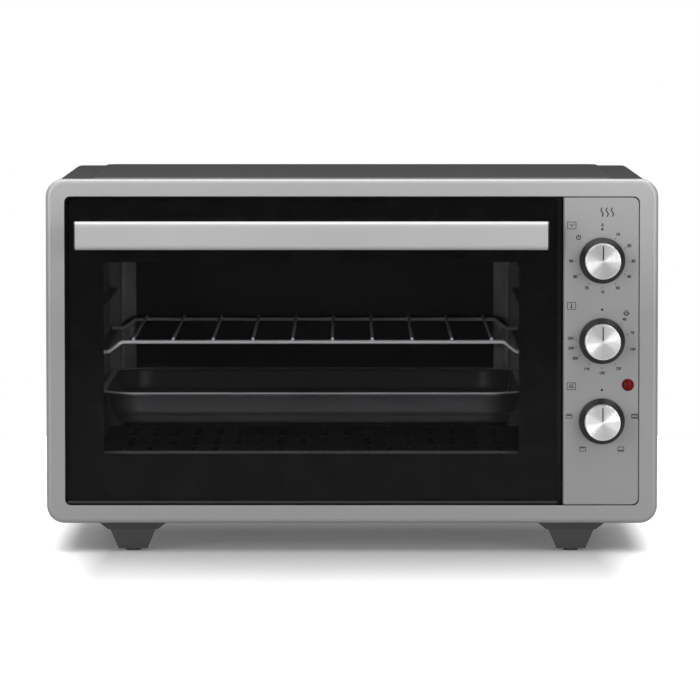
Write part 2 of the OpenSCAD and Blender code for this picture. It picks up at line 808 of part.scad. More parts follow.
// The bell that the timer strikes at zero
module timer_bell() {
    bell_r = 17;
    bell_h = 9;
    color("silver") translate([knob_x + 4, face_y + unit_d + 31, knob_zs[0]]) rotate([-90, 0, 0]) {
        difference() {
            cylinder(r1 = bell_r, r2 = bell_r - 5, h = bell_h);
            translate([0, 0, -0.01]) cylinder(r1 = bell_r - 1.2, r2 = bell_r - 6.2, h = bell_h - 1);
        }
        cylinder(r = 3, h = bell_h - 1);
        translate([0, 0, bell_h]) cylinder(r = 3.5, h = 1.5);
        translate([0, 0, -1]) cylinder(r = 3, h = 1);
    }
}

module thermostat_unit() {
    half_w = 17;
    half_h = 21;
    color([0.86, 0.85, 0.8]) shaft_bush(knob_zs[1]) {
        block(knob_x - half_w, knob_x + half_w, unit_d, unit_d + 24, knob_zs[1] - half_h,
            knob_zs[1] + half_h);
        for (x = [knob_x - 8, knob_x + 8])
            block(x - 3, x + 3, unit_d + 24, unit_d + 32, knob_zs[1] + 12, knob_zs[1] + 12.8);
    }
}

// Liquid-filled sensing bulb with the capillary that leads to the thermostat
module thermostat_bulb() {
    side_x = 183;
    back_d = unit_d + 24;
    color([0.72, 0.45, 0.3]) {
        bar_y(bulb_x, bulb_z, bulb_r, bulb_front_d, bulb_back_d);
        bent_wire([
            at(bulb_x, bulb_back_d, bulb_z), at(bulb_x, capillary_d, bulb_z),
            at(side_x, capillary_d, bulb_z), at(side_x, capillary_d, knob_mid_z - 10),
            at(side_x, back_d + 20, knob_mid_z - 10), at(knob_x, back_d + 20, knob_mid_z - 10),
            at(knob_x, back_d, knob_mid_z - 10)
        ], capillary_r);
    }
}

module selector_switch() {
    color([0.15, 0.15, 0.16]) shaft_bush(knob_zs[2]) {
        bar_y(knob_x, knob_zs[2], 19, unit_d, unit_d + 26);
        for (a = [30 : 60 : 330])
            bar_y(knob_x + 13 * cos(a), knob_zs[2] + 13 * sin(a), 1.6, unit_d + 26, unit_d + 33);
    }
}

// A control's turning shaft with a flat for the knob
module control_shaft(z) {
    color("silver") difference() {
        bar_y(knob_x, z, shaft_r, shaft_front_d, shaft_back_d);
        block(knob_x - shaft_r, knob_x + shaft_r, shaft_front_d - far, -1, z + shaft_flat,
            z + shaft_r + 1);
    }
}

// The black moulded part of a knob: skirt, neck inside the cap, and hub on the shaft
module knob(z) {
    neck_r = cap_r - cap_t - 0.1;
    color([0.09, 0.09, 0.09]) difference() {
        translate([knob_x, face_y - knob_gap, z]) rotate([90, 0, 0]) rotate_extrude() polygon([
            [0, 0], [skirt_r, 0], [skirt_r, 1.4], [cap_r + 1.2, skirt_h], [cap_r + 0.4, skirt_h + 1.4],
            [neck_r, skirt_h + 1.4], [neck_r, skirt_h + 6], [hub_r, skirt_h + 6],
            [hub_r, knob_out - knob_gap - cap_t - 0.2], [0, knob_out - knob_gap - cap_t - 0.2]
        ]);
        difference() {
            bar_y(knob_x, z, shaft_r + 0.03, shaft_front_d - 0.5, far);
            block(knob_x - shaft_r - 1, knob_x + shaft_r + 1, shaft_front_d - far, far,
                z + shaft_flat + 0.03, z + shaft_r + 1);
        }
    }
}

// The spun aluminium cap of a knob, with a groove for its pointer line
module knob_cap(z) {
    cap_h = knob_out - knob_gap - skirt_h - 1.5;
    edge = 1;
    color([0.8, 0.8, 0.82]) difference() {
        translate([knob_x, face_y + cap_back_d, z]) rotate([90, 0, 0]) rotate_extrude() polygon([
            [cap_r - cap_t, 0], [cap_r, 0], [cap_r, cap_h - edge], [cap_r - edge, cap_h],
            [0, cap_h], [0, cap_h - cap_t], [cap_r - cap_t, cap_h - cap_t]
        ]);
        block(knob_x - 0.5, knob_x + 0.5, -knob_out - far, -knob_out + 0.3, z + 1.5, z + 13.4);
    }
}

module lamp_lens() {
    collar_r = 4.8;
    color([0.6, 0.05, 0.08]) {
        bar_y(lamp_x, lamp_z, collar_r, 0, 8);
        translate([lamp_x, face_y, lamp_z]) rotate([90, 0, 0]) rotate_extrude() intersection() {
            ball_r = (lamp_r * lamp_r + lamp_dome_h * lamp_dome_h) / (2 * lamp_dome_h);
            translate([0, lamp_dome_h - ball_r]) circle(ball_r);
            square([lamp_r, lamp_dome_h]);
        }
    }
}

module lamp_holder() {
    color("white") {
        bar_y(lamp_x, lamp_z, 4.4, 8, 27);
        for (x = [lamp_x - 2, lamp_x + 2]) bar_y(x, lamp_z, 0.6, 27, 34);
    }
}

// ---------------------------------------------------------------- wiring

module terminal_block() {
    color("white") difference() {
        block(knob_x - 20, knob_x + 20, block_front_d, block_back_d, base_top + 14, block_top);
        for (x = [knob_x - 13, knob_x, knob_x + 13])
            bar_z(x, (block_front_d + block_back_d) / 2, block_top - 5, block_top + far, 2.4);
    }
    color("white") block(knob_x - 16, knob_x + 16, block_front_d + 3, block_back_d - 3, base_top,
        base_top + 14);
}

// Insulated leads from the terminal block to the control units
module wiring_harness() {
    lead_r = 1.3;
    middle_d = (block_front_d + block_back_d) / 2;
    ends = [
        [knob_x - 13, knob_zs[0] - 16, unit_d + 30],
        [knob_x, knob_zs[1] + 3, unit_d + 24],
        [knob_x + 13, knob_zs[2], unit_d + 26]
    ];
    color([0.7, 0.1, 0.1]) for (e = ends) {
        bent_wire([
            at(e[0], middle_d, block_top - 4.8), at(e[0], middle_d, e[1]), at(e[0], e[2], e[1])
        ], lead_r);
    }
}

module cord_gland() {
    color([0.1, 0.1, 0.1]) difference() {
        union() {
            bar_y(gland_x, gland_z, gland_flange_r, body_d, body_d + 2);
            bar_y(gland_x, gland_z, gland_body_r, body_d - gland_inner_l, body_d + gland_out);
            bar_y(gland_x, gland_z, gland_flange_r - 1, body_d - gland_inner_l, body_d - 4);
        }
        bar_y(gland_x, gland_z, gland_bore_r, body_d - gland_inner_l - far,
            body_d + gland_out + far);
    }
}

// ---------------------------------------------------------------- door hinges

// Middle of the hinge arm's plate; side is -1 on the left and 1 on the right
function arm_mid_x(side) = cavity_x + side * (door_w / 2 - arm_x - arm_t / 2);
function spring_x(side) = arm_mid_x(side) + side * (arm_t / 2 + spring_side);
function spring_anchor_x(side) = arm_mid_x(side);
function bracket_x(side) = cavity_x + side * (door_w / 2 - frame_inset + bracket_gap + bracket_t / 2);

// A bracket on the front frame with the bore that a hinge pin turns in
module hinge_bracket(side) {
    x = bracket_x(side);
    nose_r = pin_r + 1.2;
    foot = [x, x + side * 8];
    color("silver") difference() {
        union() {
            sideways(x - bracket_t / 2, x + bracket_t / 2) {
                translate([hinge_d, hinge_z]) circle(nose_r - 0.2);
                translate([hinge_d, hinge_z - nose_r + 0.2])
                    square([mouth_d - hinge_d, 2 * nose_r - 0.4]);
                translate([mouth_d - 4, hinge_z]) square([4, 24]);
            }
            block(min(foot), max(foot), mouth_d - 1.5, mouth_d, hinge_z + 4, hinge_z + 24);
        }
        bar_x(x - far, x + far, hinge_d, hinge_z, pin_r + pin_clear);
    }
}

// The pins are riveted into the sides of the door's frame
module hinge_pins() {
    color("silver") for (side = [-1, 1]) {
        cheek = cavity_x + side * (door_w / 2 - frame_inset);
        tip = bracket_x(side) + side * (bracket_t / 2 + 1.5);
        bar_x(min(cheek, tip), max(cheek, tip), hinge_d, hinge_z, pin_r);
    }
}

// A curved arm that runs through the front frame; its tail carries the spring and is the stop
module hinge_arm(side) {
    x = arm_mid_x(side);
    outer = arm_r + arm_band / 2;
    steps = 24;
    reach = 60;
    foot = [x - side * arm_t / 2, x - side * (arm_t / 2 + 8)];
    wedge = concat([[0, 0]], [for (i = [0 : steps])
        let (a = arm_from + (arm_to - arm_from) * i / steps) [reach * sin(a), reach * cos(a)]]);
    tail_y = (outer - 1) * sin(arm_to - 3);
    tail_z = (outer - 1) * cos(arm_to - 3);
    color("silver") difference() {
        union() {
            sideways(x - arm_t / 2, x + arm_t / 2) translate([hinge_d, hinge_z]) {
                intersection() {
                    difference() {
                        circle(outer, $fn = 96);
                        circle(arm_r - arm_band / 2, $fn = 96);
                    }
                    polygon(wedge);
                }
                translate([tail_y, tail_z]) circle(3);
            }
            block(x - arm_t / 2, x + arm_t / 2, frame_back_d, frame_back_d + 2, hinge_z + arm_r - 12,
                hinge_z + arm_r + 8);
            block(min(foot), max(foot), frame_back_d, frame_back_d + arm_foot_t,
                hinge_z + arm_r - 12, hinge_z + arm_r + 8);
        }
        bar_x(x - far, x + far, hinge_d + arm_r * sin(spring_angle),
            hinge_z + arm_r * cos(spring_angle), spring_hole_r);
        block(x - arm_t, x + arm_t, 0, frame_back_d, hinge_z, hinge_z + 60);
    }
}

// The two tension springs that pull the door shut, each with a hook at either end
module door_springs() {
    hook_l = 9;
    color("silver") for (side = [-1, 1]) {
        x = spring_x(side);
        arm_end = at(x, hinge_d + arm_r * sin(spring_angle), hinge_z + arm_r * cos(spring_angle));
        wall_end = at(x, spring_anchor_d, spring_anchor_z);
        along = (wall_end - arm_end) / norm(wall_end - arm_end);
        coil = [arm_end + hook_l * along, wall_end - hook_l * along];
        inward = [-side * (spring_side + arm_t + 1.2), 0, 0];
        rod(coil[0], coil[1], spring_r);
        rod(arm_end, coil[0] + along, spring_wire_r);
        rod(coil[1] - along, wall_end, spring_wire_r);
        for (end = [arm_end, wall_end]) {
            translate(end) sphere(spring_wire_r);
            rod(end, end + inward, spring_wire_r);
        }
    }
}

// ---------------------------------------------------------------- door

module door_glass() {
    color([0.08, 0.08, 0.09, 0.5]) difference() {
        upright(glass_d, glass_back_d) rounded_rect(door_x0, door_x1, glass_low, door_high, 3);
        for (x = leg_xs()) bar_y(x, handle_z, 2.6, glass_d - far, glass_back_d + far);
    }
}

module door_lower_trim() {
    color("silver") block(door_x0, door_x1, glass_d, glass_back_d + gap, door_low, glass_low);
}

// The door's steel pan: open towards the glass, with a window in its back
module door_frame() {
    x0 = door_x0 + frame_inset;
    x1 = door_x1 - frame_inset;
    low = door_low + 2.7;
    high = door_high - 2.9;
    t = frame_sheet;
    side = (cavity_w - window_w) / 2;
    color([0.12, 0.12, 0.12]) difference() {
        upright(frame_front_d, frame_back_d) rounded_rect(x0, x1, low, high, 4);
        upright(frame_front_d - far, frame_back_d - t)
            rounded_rect(x0 + t, x1 - t, low + t, high - t, 3);
        upright(frame_front_d, frame_back_d + far)
            rounded_rect(cavity_x - window_w / 2 - 1, cavity_x + window_w / 2 + 1, window_low - 2,
                window_high + 2, 4);
        for (x = [x0 - far, x1 - far])
            bar_x(x, x + 2 * far, hinge_d, hinge_z, pin_r - 0.8);
        // the lowest corner is cut back so that it clears the base as the door turns
        block(x0 - far, x1 + far, hinge_d + 4, frame_back_d + far, low - far, hinge_z - 4);
    }
}

module door_inner_glass() {
    margin = 12;
    color([0.3, 0.3, 0.32, 0.4])
        upright(frame_back_d - frame_sheet - gap - inner_glass_t, frame_back_d - frame_sheet - gap)
            rounded_rect(cavity_x - window_w / 2 - margin, cavity_x + window_w / 2 + margin,
                window_low - margin, window_high + margin, 3);
}

function leg_xs() = [handle_x0 + leg_inset, handle_x1 - leg_inset];

module handle_outline(inset) {
    translate([handle_front_d + inset, handle_z - handle_h / 2 + inset])
        rounded_rect(0, handle_t - 2 * inset, 0, handle_h - 2 * inset, handle_edge_r - inset);
}

module handle_bar() {
    wall = 2;
    color([0.75, 0.75, 0.76])
        sideways(handle_x0 + handle_cap_t, handle_x1 - handle_cap_t) difference() {
            handle_outline(0);
            handle_outline(wall);
        }
}

// The dark end of the handle: a cap on the bar and the leg that stands on the glass
module handle_end(side) {
    end = side < 0 ? handle_x0 : handle_x1 - handle_cap_t;
    x = side < 0 ? leg_xs()[0] : leg_xs()[1];
    foot_d = handle_back_d + 4;
    low = handle_z - leg_h / 2;
    high = handle_z + leg_h / 2;
    color([0.15, 0.15, 0.15]) difference() {
        union() {
            sideways(end, end + handle_cap_t) handle_outline(0);
            block(side < 0 ? end : x - leg_w / 2, side < 0 ? x + leg_w / 2 : end + handle_cap_t,
                handle_back_d, foot_d, low, high);
            block(end, end + handle_cap_t, handle_back_d - 3, foot_d, low, high);
            upright(foot_d, glass_d) rounded_rect(x - leg_w / 2, x + leg_w / 2, low, high, 4);
        }
        bar_y(x, handle_z, foot_screw_r, glass_d - handle_screw_l + 2, glass_d + far);
    }
}

module handle_screws() {
    color("silver") for (x = leg_xs()) {
        bar_y(x, handle_z, 1.98, glass_back_d - handle_screw_l, glass_back_d);
        bar_y(x, handle_z, 4, glass_back_d, glass_back_d + 2.4);
    }
}

// ---------------------------------------------------------------- rack and tray

// The rack's front and rear wires, which come down at both ends to run on the shelf ribs
module rack_cross_wires() {
    ends = [cavity_x - rack_w / 2, cavity_x + rack_w / 2];
    color([0.82, 0.82, 0.84]) for (d = [rack_front_d, rack_back_d]) curved_wire([
        [ends[0], rack_ear_z], [ends[0] + rack_ear_l, rack_ear_z], [ends[0] + rack_slope_x, rack_z],
        [ends[1] - rack_slope_x, rack_z], [ends[1] - rack_ear_l, rack_ear_z], [ends[1], rack_ear_z]
    ], d, cross_wire_r, rack_bend_r);
}

// The long wires that the food lies on
module rack_rods() {
    first = cavity_x - wire_pitch * (long_wires - 1) / 2;
    color([0.82, 0.82, 0.84]) for (i = [0 : long_wires - 1])
        bar_y(first + i * wire_pitch, rack_z + cross_wire_r + long_wire_r - rod_sink, long_wire_r,
            rack_front_d - rod_end, rack_back_d + rod_end);
}

module baking_tray() {
    t = tray_t;
    r = tray_r;
    foot_r = r - 13.5;                       // corner radius of the tray's bottom
    step = 0.68 * tray_deep;                 // where a small ledge runs round the wall
    color([0.2, 0.2, 0.21]) translate([cavity_x, face_y + tray_front_d + tray_l / 2, tray_z]) {
        round_rim(tray_w, tray_l, r) polygon([
            [foot_r, -tray_deep], [foot_r + 1.5, -step - 1.5], [foot_r + 4.5, -step], [r - 6, 0],
            [r, 0], [r, -tray_lip_h], [r - t, -tray_lip_h], [r - t, -t], [r - 6 + t, -t],
            [foot_r + 4.5 + t, -step - t / 2], [foot_r + 1.5 + t, -step - 1.5 - t],
            [foot_r + t, -tray_deep - t], [foot_r, -tray_deep - t]
        ]);
        half_w = tray_w / 2 - r + foot_r;
        half_l = tray_l / 2 - r + foot_r;
        translate([0, 0, -tray_deep - t]) linear_extrude(t)
            rounded_rect(-half_w, half_w, -half_l, half_l, foot_r);
    }
}

// ---------------------------------------------------------------- the nodes

front_bezel();
control_panel();
control_bracket();
outer_shell();
rear_cover();
base_plate();
front_frame();
cavity_roof();
cavity_wall(-1);  // cavity_wall_left
cavity_wall(1);  // cavity_wall_right
cavity_back();
cavity_floor();
control_baffle();
heater(heater_ds[0], heater_high);  // heater_top_front
heater(heater_ds[1], heater_high);  // heater_top_rear
heater(heater_ds[0], heater_low_z);  // heater_bottom_front
heater(heater_ds[1], heater_low_z);  // heater_bottom_rear
heater_insulators();
timer_unit();
timer_bell();
thermostat_unit();
thermostat_bulb();
selector_switch();
lamp_lens();
lamp_holder();
foot(-foot_x, foot_front_d, 1);  // foot_front_left
foot(foot_x, foot_front_d, 1);  // foot_front_right
foot(-foot_x, foot_back_d, -1);  // foot_rear_left
foot(foot_x, foot_back_d, -1);  // foot_rear_right
foot_screws();
cover_screws();
terminal_block();
wiring_harness();
cord_gland();
hinge_bracket(-1);  // hinge_bracket_left
hinge_bracket(1);  // hinge_bracket_right
door_springs();
door_glass();
door_frame();
door_inner_glass();
door_lower_trim();
hinge_arm(-1);  // hinge_arm_left
hinge_arm(1);  // hinge_arm_right
hinge_pins();
handle_bar();
handle_end(-1);  // handle_end_left
handle_end(1);  // handle_end_right
handle_screws();
rack_cross_wires();
rack_rods();
baking_tray();
knob(knob_zs[0]);  // timer_knob
knob_cap(knob_zs[0]);  // timer_knob_cap
control_shaft(knob_zs[0]);  // timer_shaft
knob(knob_zs[1]);  // thermostat_knob
knob_cap(knob_zs[1]);  // thermostat_knob_cap
control_shaft(knob_zs[1]);  // thermostat_shaft
knob(knob_zs[2]);  // selector_knob
knob_cap(knob_zs[2]);  // selector_knob_cap
control_shaft(knob_zs[2]);  // selector_shaft
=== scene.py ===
import math

import bmesh
import bpy
from mathutils import Matrix, Vector


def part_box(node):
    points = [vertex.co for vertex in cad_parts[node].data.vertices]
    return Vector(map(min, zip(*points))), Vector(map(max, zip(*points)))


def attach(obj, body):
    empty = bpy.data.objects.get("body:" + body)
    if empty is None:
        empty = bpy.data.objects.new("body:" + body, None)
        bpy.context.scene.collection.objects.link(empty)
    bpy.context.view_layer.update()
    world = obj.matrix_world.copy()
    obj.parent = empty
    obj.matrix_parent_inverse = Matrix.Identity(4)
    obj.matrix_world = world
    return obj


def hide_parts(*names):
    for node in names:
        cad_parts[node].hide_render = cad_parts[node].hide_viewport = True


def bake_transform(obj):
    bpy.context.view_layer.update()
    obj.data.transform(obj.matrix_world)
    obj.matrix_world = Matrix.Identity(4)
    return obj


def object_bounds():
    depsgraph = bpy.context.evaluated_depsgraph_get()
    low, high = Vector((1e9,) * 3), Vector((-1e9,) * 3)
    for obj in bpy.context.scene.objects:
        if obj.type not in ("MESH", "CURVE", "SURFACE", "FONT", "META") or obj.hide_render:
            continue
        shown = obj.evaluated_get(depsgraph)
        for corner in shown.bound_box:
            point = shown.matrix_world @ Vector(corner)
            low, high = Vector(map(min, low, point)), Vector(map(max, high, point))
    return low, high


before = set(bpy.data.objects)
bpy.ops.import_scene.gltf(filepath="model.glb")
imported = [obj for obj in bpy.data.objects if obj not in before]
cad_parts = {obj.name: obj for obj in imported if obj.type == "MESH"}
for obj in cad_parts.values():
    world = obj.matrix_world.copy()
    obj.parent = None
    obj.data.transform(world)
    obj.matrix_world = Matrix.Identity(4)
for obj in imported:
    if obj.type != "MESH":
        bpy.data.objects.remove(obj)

MM = 0.001
CAD_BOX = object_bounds()

# ---------------------------------------------------------------- places, from the frame


def low(node):
    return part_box(node)[0]


def high(node):
    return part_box(node)[1]


def middle(node):
    return (low(node) + high(node)) / 2


FACE_Y = low("front_bezel").y
PANEL_Y = low("control_panel").y
GLASS_BACK_Y = high("door_glass").y
DIALS = ["timer", "thermostat", "selector"]
PAINTED_LIGHT_ABOVE = (0.2, 0.31)                        # heights over which painted light makes the front's paint paler towards the top

# ---------------------------------------------------------------- materials

# Noise scales are per metre, and bump distances are in metres. A noise lies mostly between 0.3 and 0.7.


class Nodes:
    """Builds one material's node tree; every input may be a number, a colour or a socket."""

    def __init__(self, name):
        self.material = bpy.data.materials.new(name)
        self.material.use_nodes = True
        self.tree = self.material.node_tree
        self.tree.nodes.clear()
        self.output = self.tree.nodes.new("ShaderNodeOutputMaterial")
        self.place = self.add("ShaderNodeTexCoord").outputs["Object"]

    def add(self, kind, **settings):
        node = self.tree.nodes.new(kind)
        for key, value in settings.items():
            setattr(node, key, value)
        return node

    def feed(self, socket, value):
        if isinstance(value, bpy.types.NodeSocket):
            self.tree.links.new(value, socket)
        elif isinstance(value, (tuple, list)) and len(value) == 3 and socket.type == "RGBA":
            socket.default_value = (*value, 1)
        else:
            socket.default_value = value

    def along(self, axis):
        """The place in the object along X, Y or Z."""
        node = self.add("ShaderNodeSeparateXYZ")
        self.feed(node.inputs[0], self.place)
        return node.outputs[axis]

    def stretched(self, scale):
        """The place in the object, scaled along each axis."""
        node = self.add("ShaderNodeMapping")
        self.feed(node.inputs["Vector"], self.place)
        node.inputs["Scale"].default_value = scale
        return node.outputs["Vector"]

    def noise(self, scale, detail=2.0, roughness=0.5, vector=None):
        node = self.add("ShaderNodeTexNoise")
        self.feed(node.inputs["Vector"], vector or self.place)
        node.inputs["Scale"].default_value = scale
        node.inputs["Detail"].default_value = detail
        node.inputs["Roughness"].default_value = roughness
        return node.outputs["Fac"]

    def spread(self, value, lowest, highest, start=0.3, end=0.7):
        """Spreads a 0 to 1 value over a range of numbers."""
        node = self.add("ShaderNodeMapRange")
        self.feed(node.inputs["Value"], value)
        node.inputs["From Min"].default_value = start
        node.inputs["From Max"].default_value = end
        node.inputs["To Min"].default_value = lowest
        node.inputs["To Max"].default_value = highest
        return node.outputs["Result"]

    def blend(self, value, first, second):
        node = self.add("ShaderNodeMix", data_type="RGBA")
        self.feed(node.inputs[0], value)
        self.feed(node.inputs[6], first)
        self.feed(node.inputs[7], second)
        return node.outputs[2]

    def uneven(self, value, colour, amount):
        """A colour that is a little darker where a noise is low and lighter where it is high."""
        dark = tuple(c * (1 - amount) for c in colour)
        light = tuple(c * (1 + amount) for c in colour)
        return self.blend(self.spread(value, 0, 1), dark, light)

    def maths(self, operation, first, second=0.0):
        node = self.add("ShaderNodeMath", operation=operation)
        self.feed(node.inputs[0], first)
        self.feed(node.inputs[1], second)
        return node.outputs[0]

    def vector_maths(self, operation, first, second=None):
        node = self.add("ShaderNodeVectorMath", operation=operation)
        self.feed(node.inputs[0], first)
        if second is not None:
            self.feed(node.inputs[1], second)
        return node.outputs[0]

    def bump(self, height, distance, strength):
        node = self.add("ShaderNodeBump")
        self.feed(node.inputs["Height"], height)
        node.inputs["Distance"].default_value = distance
        node.inputs["Strength"].default_value = strength
        return node.outputs["Normal"]

    def principled(self, **values):
        node = self.add("ShaderNodeBsdfPrincipled")
        for key, value in values.items():
            self.feed(node.inputs[key.replace("_", " ")], value)
        self.feed(self.output.inputs["Surface"], node.outputs["BSDF"])
        return self.material


def satin_paint(name, colour, metallic, roughness, flake=0.06, top=1.0):
    """Sprayed metallic paint: fine flakes, slow unevenness and a little orange peel; with top other than one
    it carries painted light, paler towards the top."""
    n = Nodes(name)
    dark = tuple(c * (1 - flake) for c in colour)
    light = tuple(c * (1 + flake) for c in colour)
    flakes = n.spread(n.noise(5200, 1.0), 0, 1, 0.35, 0.65)
    shade = n.blend(flakes, dark, light)
    # painted light: a paler copy of the paint, blended in towards the top, stands for the overhead light
    if top != 1.0:
        paler = n.blend(flakes, tuple(c * top for c in dark), tuple(c * top for c in light))
        shade = n.blend(n.spread(n.along("Z"), 0, 1, *PAINTED_LIGHT_ABOVE), shade, paler)
    slow = n.noise(9, 3.0)
    peel = n.bump(n.noise(700, 2.0), 0.00002, 0.35)
    return n.principled(Base_Color=shade, Metallic=metallic,
                        Roughness=n.spread(slow, roughness - 0.03, roughness + 0.03), Normal=peel)


def powder_coat(name, colour, roughness):
    """Dark powder coat with its small even grain."""
    n = Nodes(name)
    grain = n.noise(1500, 3.0, 0.6)
    return n.principled(Base_Color=n.uneven(n.noise(6, 2.0), colour, 0.07),
                        Roughness=n.spread(grain, roughness - 0.05, roughness + 0.05),
                        Normal=n.bump(grain, 0.00005, 0.5))


def enamel(name, colour, roughness, fleck=0.25):
    """Fired enamel with fine pale flecks and slight waves."""
    n = Nodes(name)
    flecks = n.spread(n.noise(2600, 2.0), 0, 1, 0.62, 0.75)
    base = n.uneven(n.noise(14, 3.0), colour, 0.15)
    pale = tuple(c + fleck * (0.3 - c) * 0.4 for c in colour)
    return n.principled(Base_Color=n.blend(flecks, base, pale),
                        Roughness=n.spread(n.noise(30, 2.0), roughness - 0.05, roughness + 0.05),
                        Normal=n.bump(n.noise(60, 2.0), 0.0004, 0.12))


def edged_enamel(name, colour, painted_light_colour, roughness, axis, away):
    """Enamel with painted light on its edges: away gives the middle and the two distances over which the
    painted light comes in.
    """
    n = Nodes(name)
    centre, start, end = away
    distance = n.maths("ABSOLUTE", n.maths("SUBTRACT", n.along(axis), centre))
    shade = n.blend(n.spread(distance, 0, 1, start, end), colour, painted_light_colour)
    return n.principled(Base_Color=shade,
                        Roughness=n.spread(n.noise(30, 2.0), roughness - 0.05, roughness + 0.05),
                        Normal=n.bump(n.noise(60, 2.0), 0.0004, 0.08))


def plain_metal(name, colour, roughness, grain=0.04, stretch=(1, 1, 1)):
    """Bare metal with a rolled or drawn grain along one direction."""
    n = Nodes(name)
    lines = n.noise(900, 3.0, 0.6, n.stretched(stretch))
    return n.principled(Base_Color=n.uneven(lines, colour, grain), Metallic=1.0,
                        Roughness=n.spread(lines, roughness - 0.04, roughness + 0.05),
                        Normal=n.bump(lines, 0.00001, 0.25))


def moulded(name, colour, roughness, grain=0.35):
    """Moulded plastic with a spark-eroded texture."""
    n = Nodes(name)
    texture = n.noise(2400, 2.0, 0.6)
    return n.principled(Base_Color=n.uneven(n.noise(20, 2.0), colour, 0.08),
                        Roughness=n.spread(texture, roughness - 0.06, roughness + 0.06),
                        Normal=n.bump(texture, 0.00004, grain))


def thin_glass(name, tint, gloss_ior):
    """A flat pane: a tinted see-through body under a faint reflection."""
    n = Nodes(name)
    through = n.add("ShaderNodeBsdfTransparent")
    n.feed(through.inputs["Color"], n.blend(n.spread(n.noise(8, 2.0), 0.97, 1.03), (0, 0, 0), tint))
    gloss = n.add("ShaderNodeBsdfGlossy")
    n.feed(gloss.inputs["Roughness"], n.spread(n.noise(40, 3.0), 0.02, 0.05))
    fresnel = n.add("ShaderNodeFresnel")
    fresnel.inputs["IOR"].default_value = gloss_ior
    mix = n.add("ShaderNodeMixShader")
    n.feed(mix.inputs[0], fresnel.outputs[0])
    n.feed(mix.inputs[1], through.outputs[0])
    n.feed(mix.inputs[2], gloss.outputs[0])
    n.feed(n.output.inputs["Surface"], mix.outputs[0])
    return n.material


def low_shine(name, colour, roughness, specular):
    """A smooth surface that shines little: black enamel fired on glass, or a frosted lens."""
    n = Nodes(name)
    slow = n.noise(25, 2.0)
    return n.principled(Base_Color=n.uneven(slow, colour, 0.05),
                        Roughness=n.spread(slow, roughness, roughness + 0.04), Specular_IOR_Level=specular)


def spun_metal(name, colour, roughness):
    """Metal turned on a lathe: rings round the knob's axis, which spread light outwards."""
    n = Nodes(name)
    tangent = n.add("ShaderNodeTangent", direction_type="RADIAL", axis="Y")
    lines = n.noise(1600, 2.0, 0.6)
    shade = n.blend(n.spread(lines, 0, 1), tuple(c * 0.97 for c in colour), colour)
    return n.principled(Base_Color=shade, Metallic=1.0,
                        Roughness=n.spread(lines, roughness, roughness + 0.05),
                        Anisotropic=0.95, Anisotropic_Rotation=0.25, Tangent=tangent.outputs[0])


# painted light: top=1.5 and top=1.4 make the bezel and the panel paler towards the top, as overhead light
# falls
BEZEL = satin_paint("silver_paint", (0.28, 0.28, 0.284), 0.2, 0.42, top=1.5)
PANEL = satin_paint("panel_paint", (0.26, 0.26, 0.264), 0.2, 0.42, top=1.4)
SHELL = powder_coat("shell_coat", (0.019, 0.019, 0.0198), 0.5)
CAVITY = enamel("cavity_enamel", (0.014, 0.0137, 0.0134), 0.34)
# painted light: the back wall's enamel turns paler near its sides, standing for light thrown on it from the
# side walls
BACK_WALL = edged_enamel("back_wall_enamel", (0.014, 0.0137, 0.0134), (0.3, 0.29, 0.28), 0.34, "X",
                         (middle("cavity_back").x, 173 * MM, 179 * MM))
# painted light: the side walls take a far paler copy of the cavity's enamel, standing for the light the
# front softboxes throw on them
CAVITY_WALL_PAINTED_LIGHT = enamel("cavity_wall_enamel", (0.2, 0.196, 0.19), 0.36)
# painted light: the floor is far paler where it rises more than 3 mm over its lowest face, a painted
# highlight
CAVITY_FLOOR = edged_enamel("cavity_floor_enamel", (0.006, 0.006, 0.006), (0.12, 0.12, 0.12), 0.5, "Z",
                            (low("cavity_floor").z, 1 * MM, 3 * MM))
TRAY = satin_paint("tray_enamel", (0.06, 0.06, 0.062), 0.0, 0.3, 0.08)
# painted highlight: the rolled rim takes a far paler copy of the tray's enamel
TRAY_RIM_HIGHLIGHT = satin_paint("tray_rim", (0.8, 0.8, 0.81), 0.3, 0.35, 0.05)
STEEL = plain_metal("zinc_steel", (0.55, 0.55, 0.56), 0.35)
SCREW = plain_metal("screw_steel", (0.5, 0.5, 0.52), 0.3)
HANDLE = satin_paint("handle_satin", (0.46, 0.46, 0.465), 0.45, 0.45, 0.02)
TRIM = plain_metal("trim_metal", (0.06, 0.06, 0.062), 0.3, 0.02, (0.02, 1, 1))
CHROME = satin_paint("chrome_wire", (0.95, 0.95, 0.96), 0.5, 0.33, 0.03)
HEATER = plain_metal("heater_sheath", (0.22, 0.2, 0.18), 0.45, 0.2)
COPPER = plain_metal("copper_tube", (0.7, 0.4, 0.25), 0.3)
CERAMIC = moulded("ceramic", (0.75, 0.72, 0.65), 0.6)
BLACK = moulded("black_plastic", (0.008, 0.008, 0.0083), 0.42)
FOOT = moulded("foot_plastic", (0.04, 0.04, 0.042), 0.5)
WHITE = moulded("white_plastic", (0.75, 0.75, 0.72), 0.4)
UNIT = moulded("unit_plastic", (0.55, 0.5, 0.42), 0.45)
LEAD = moulded("lead_silicone", (0.4, 0.02, 0.02), 0.5)
DOOR_STEEL = enamel("door_enamel", (0.012, 0.012, 0.012), 0.4, 0.05)
GLASS = thin_glass("smoked_glass", (0.88, 0.88, 0.89), 1.12)
INNER_GLASS = thin_glass("inner_glass", (0.93, 0.93, 0.93), 1.12)
PRINT = low_shine("glass_print", (0.007, 0.007, 0.007), 0.25, 0.1)
INK = moulded("black_ink", (0.004, 0.004, 0.004), 0.7, 0.1)
CAP = spun_metal("spun_cap", (0.92, 0.92, 0.93), 0.25)
LAMP = low_shine("lamp_red", (0.11, 0.002, 0.002), 0.3, 0.12)

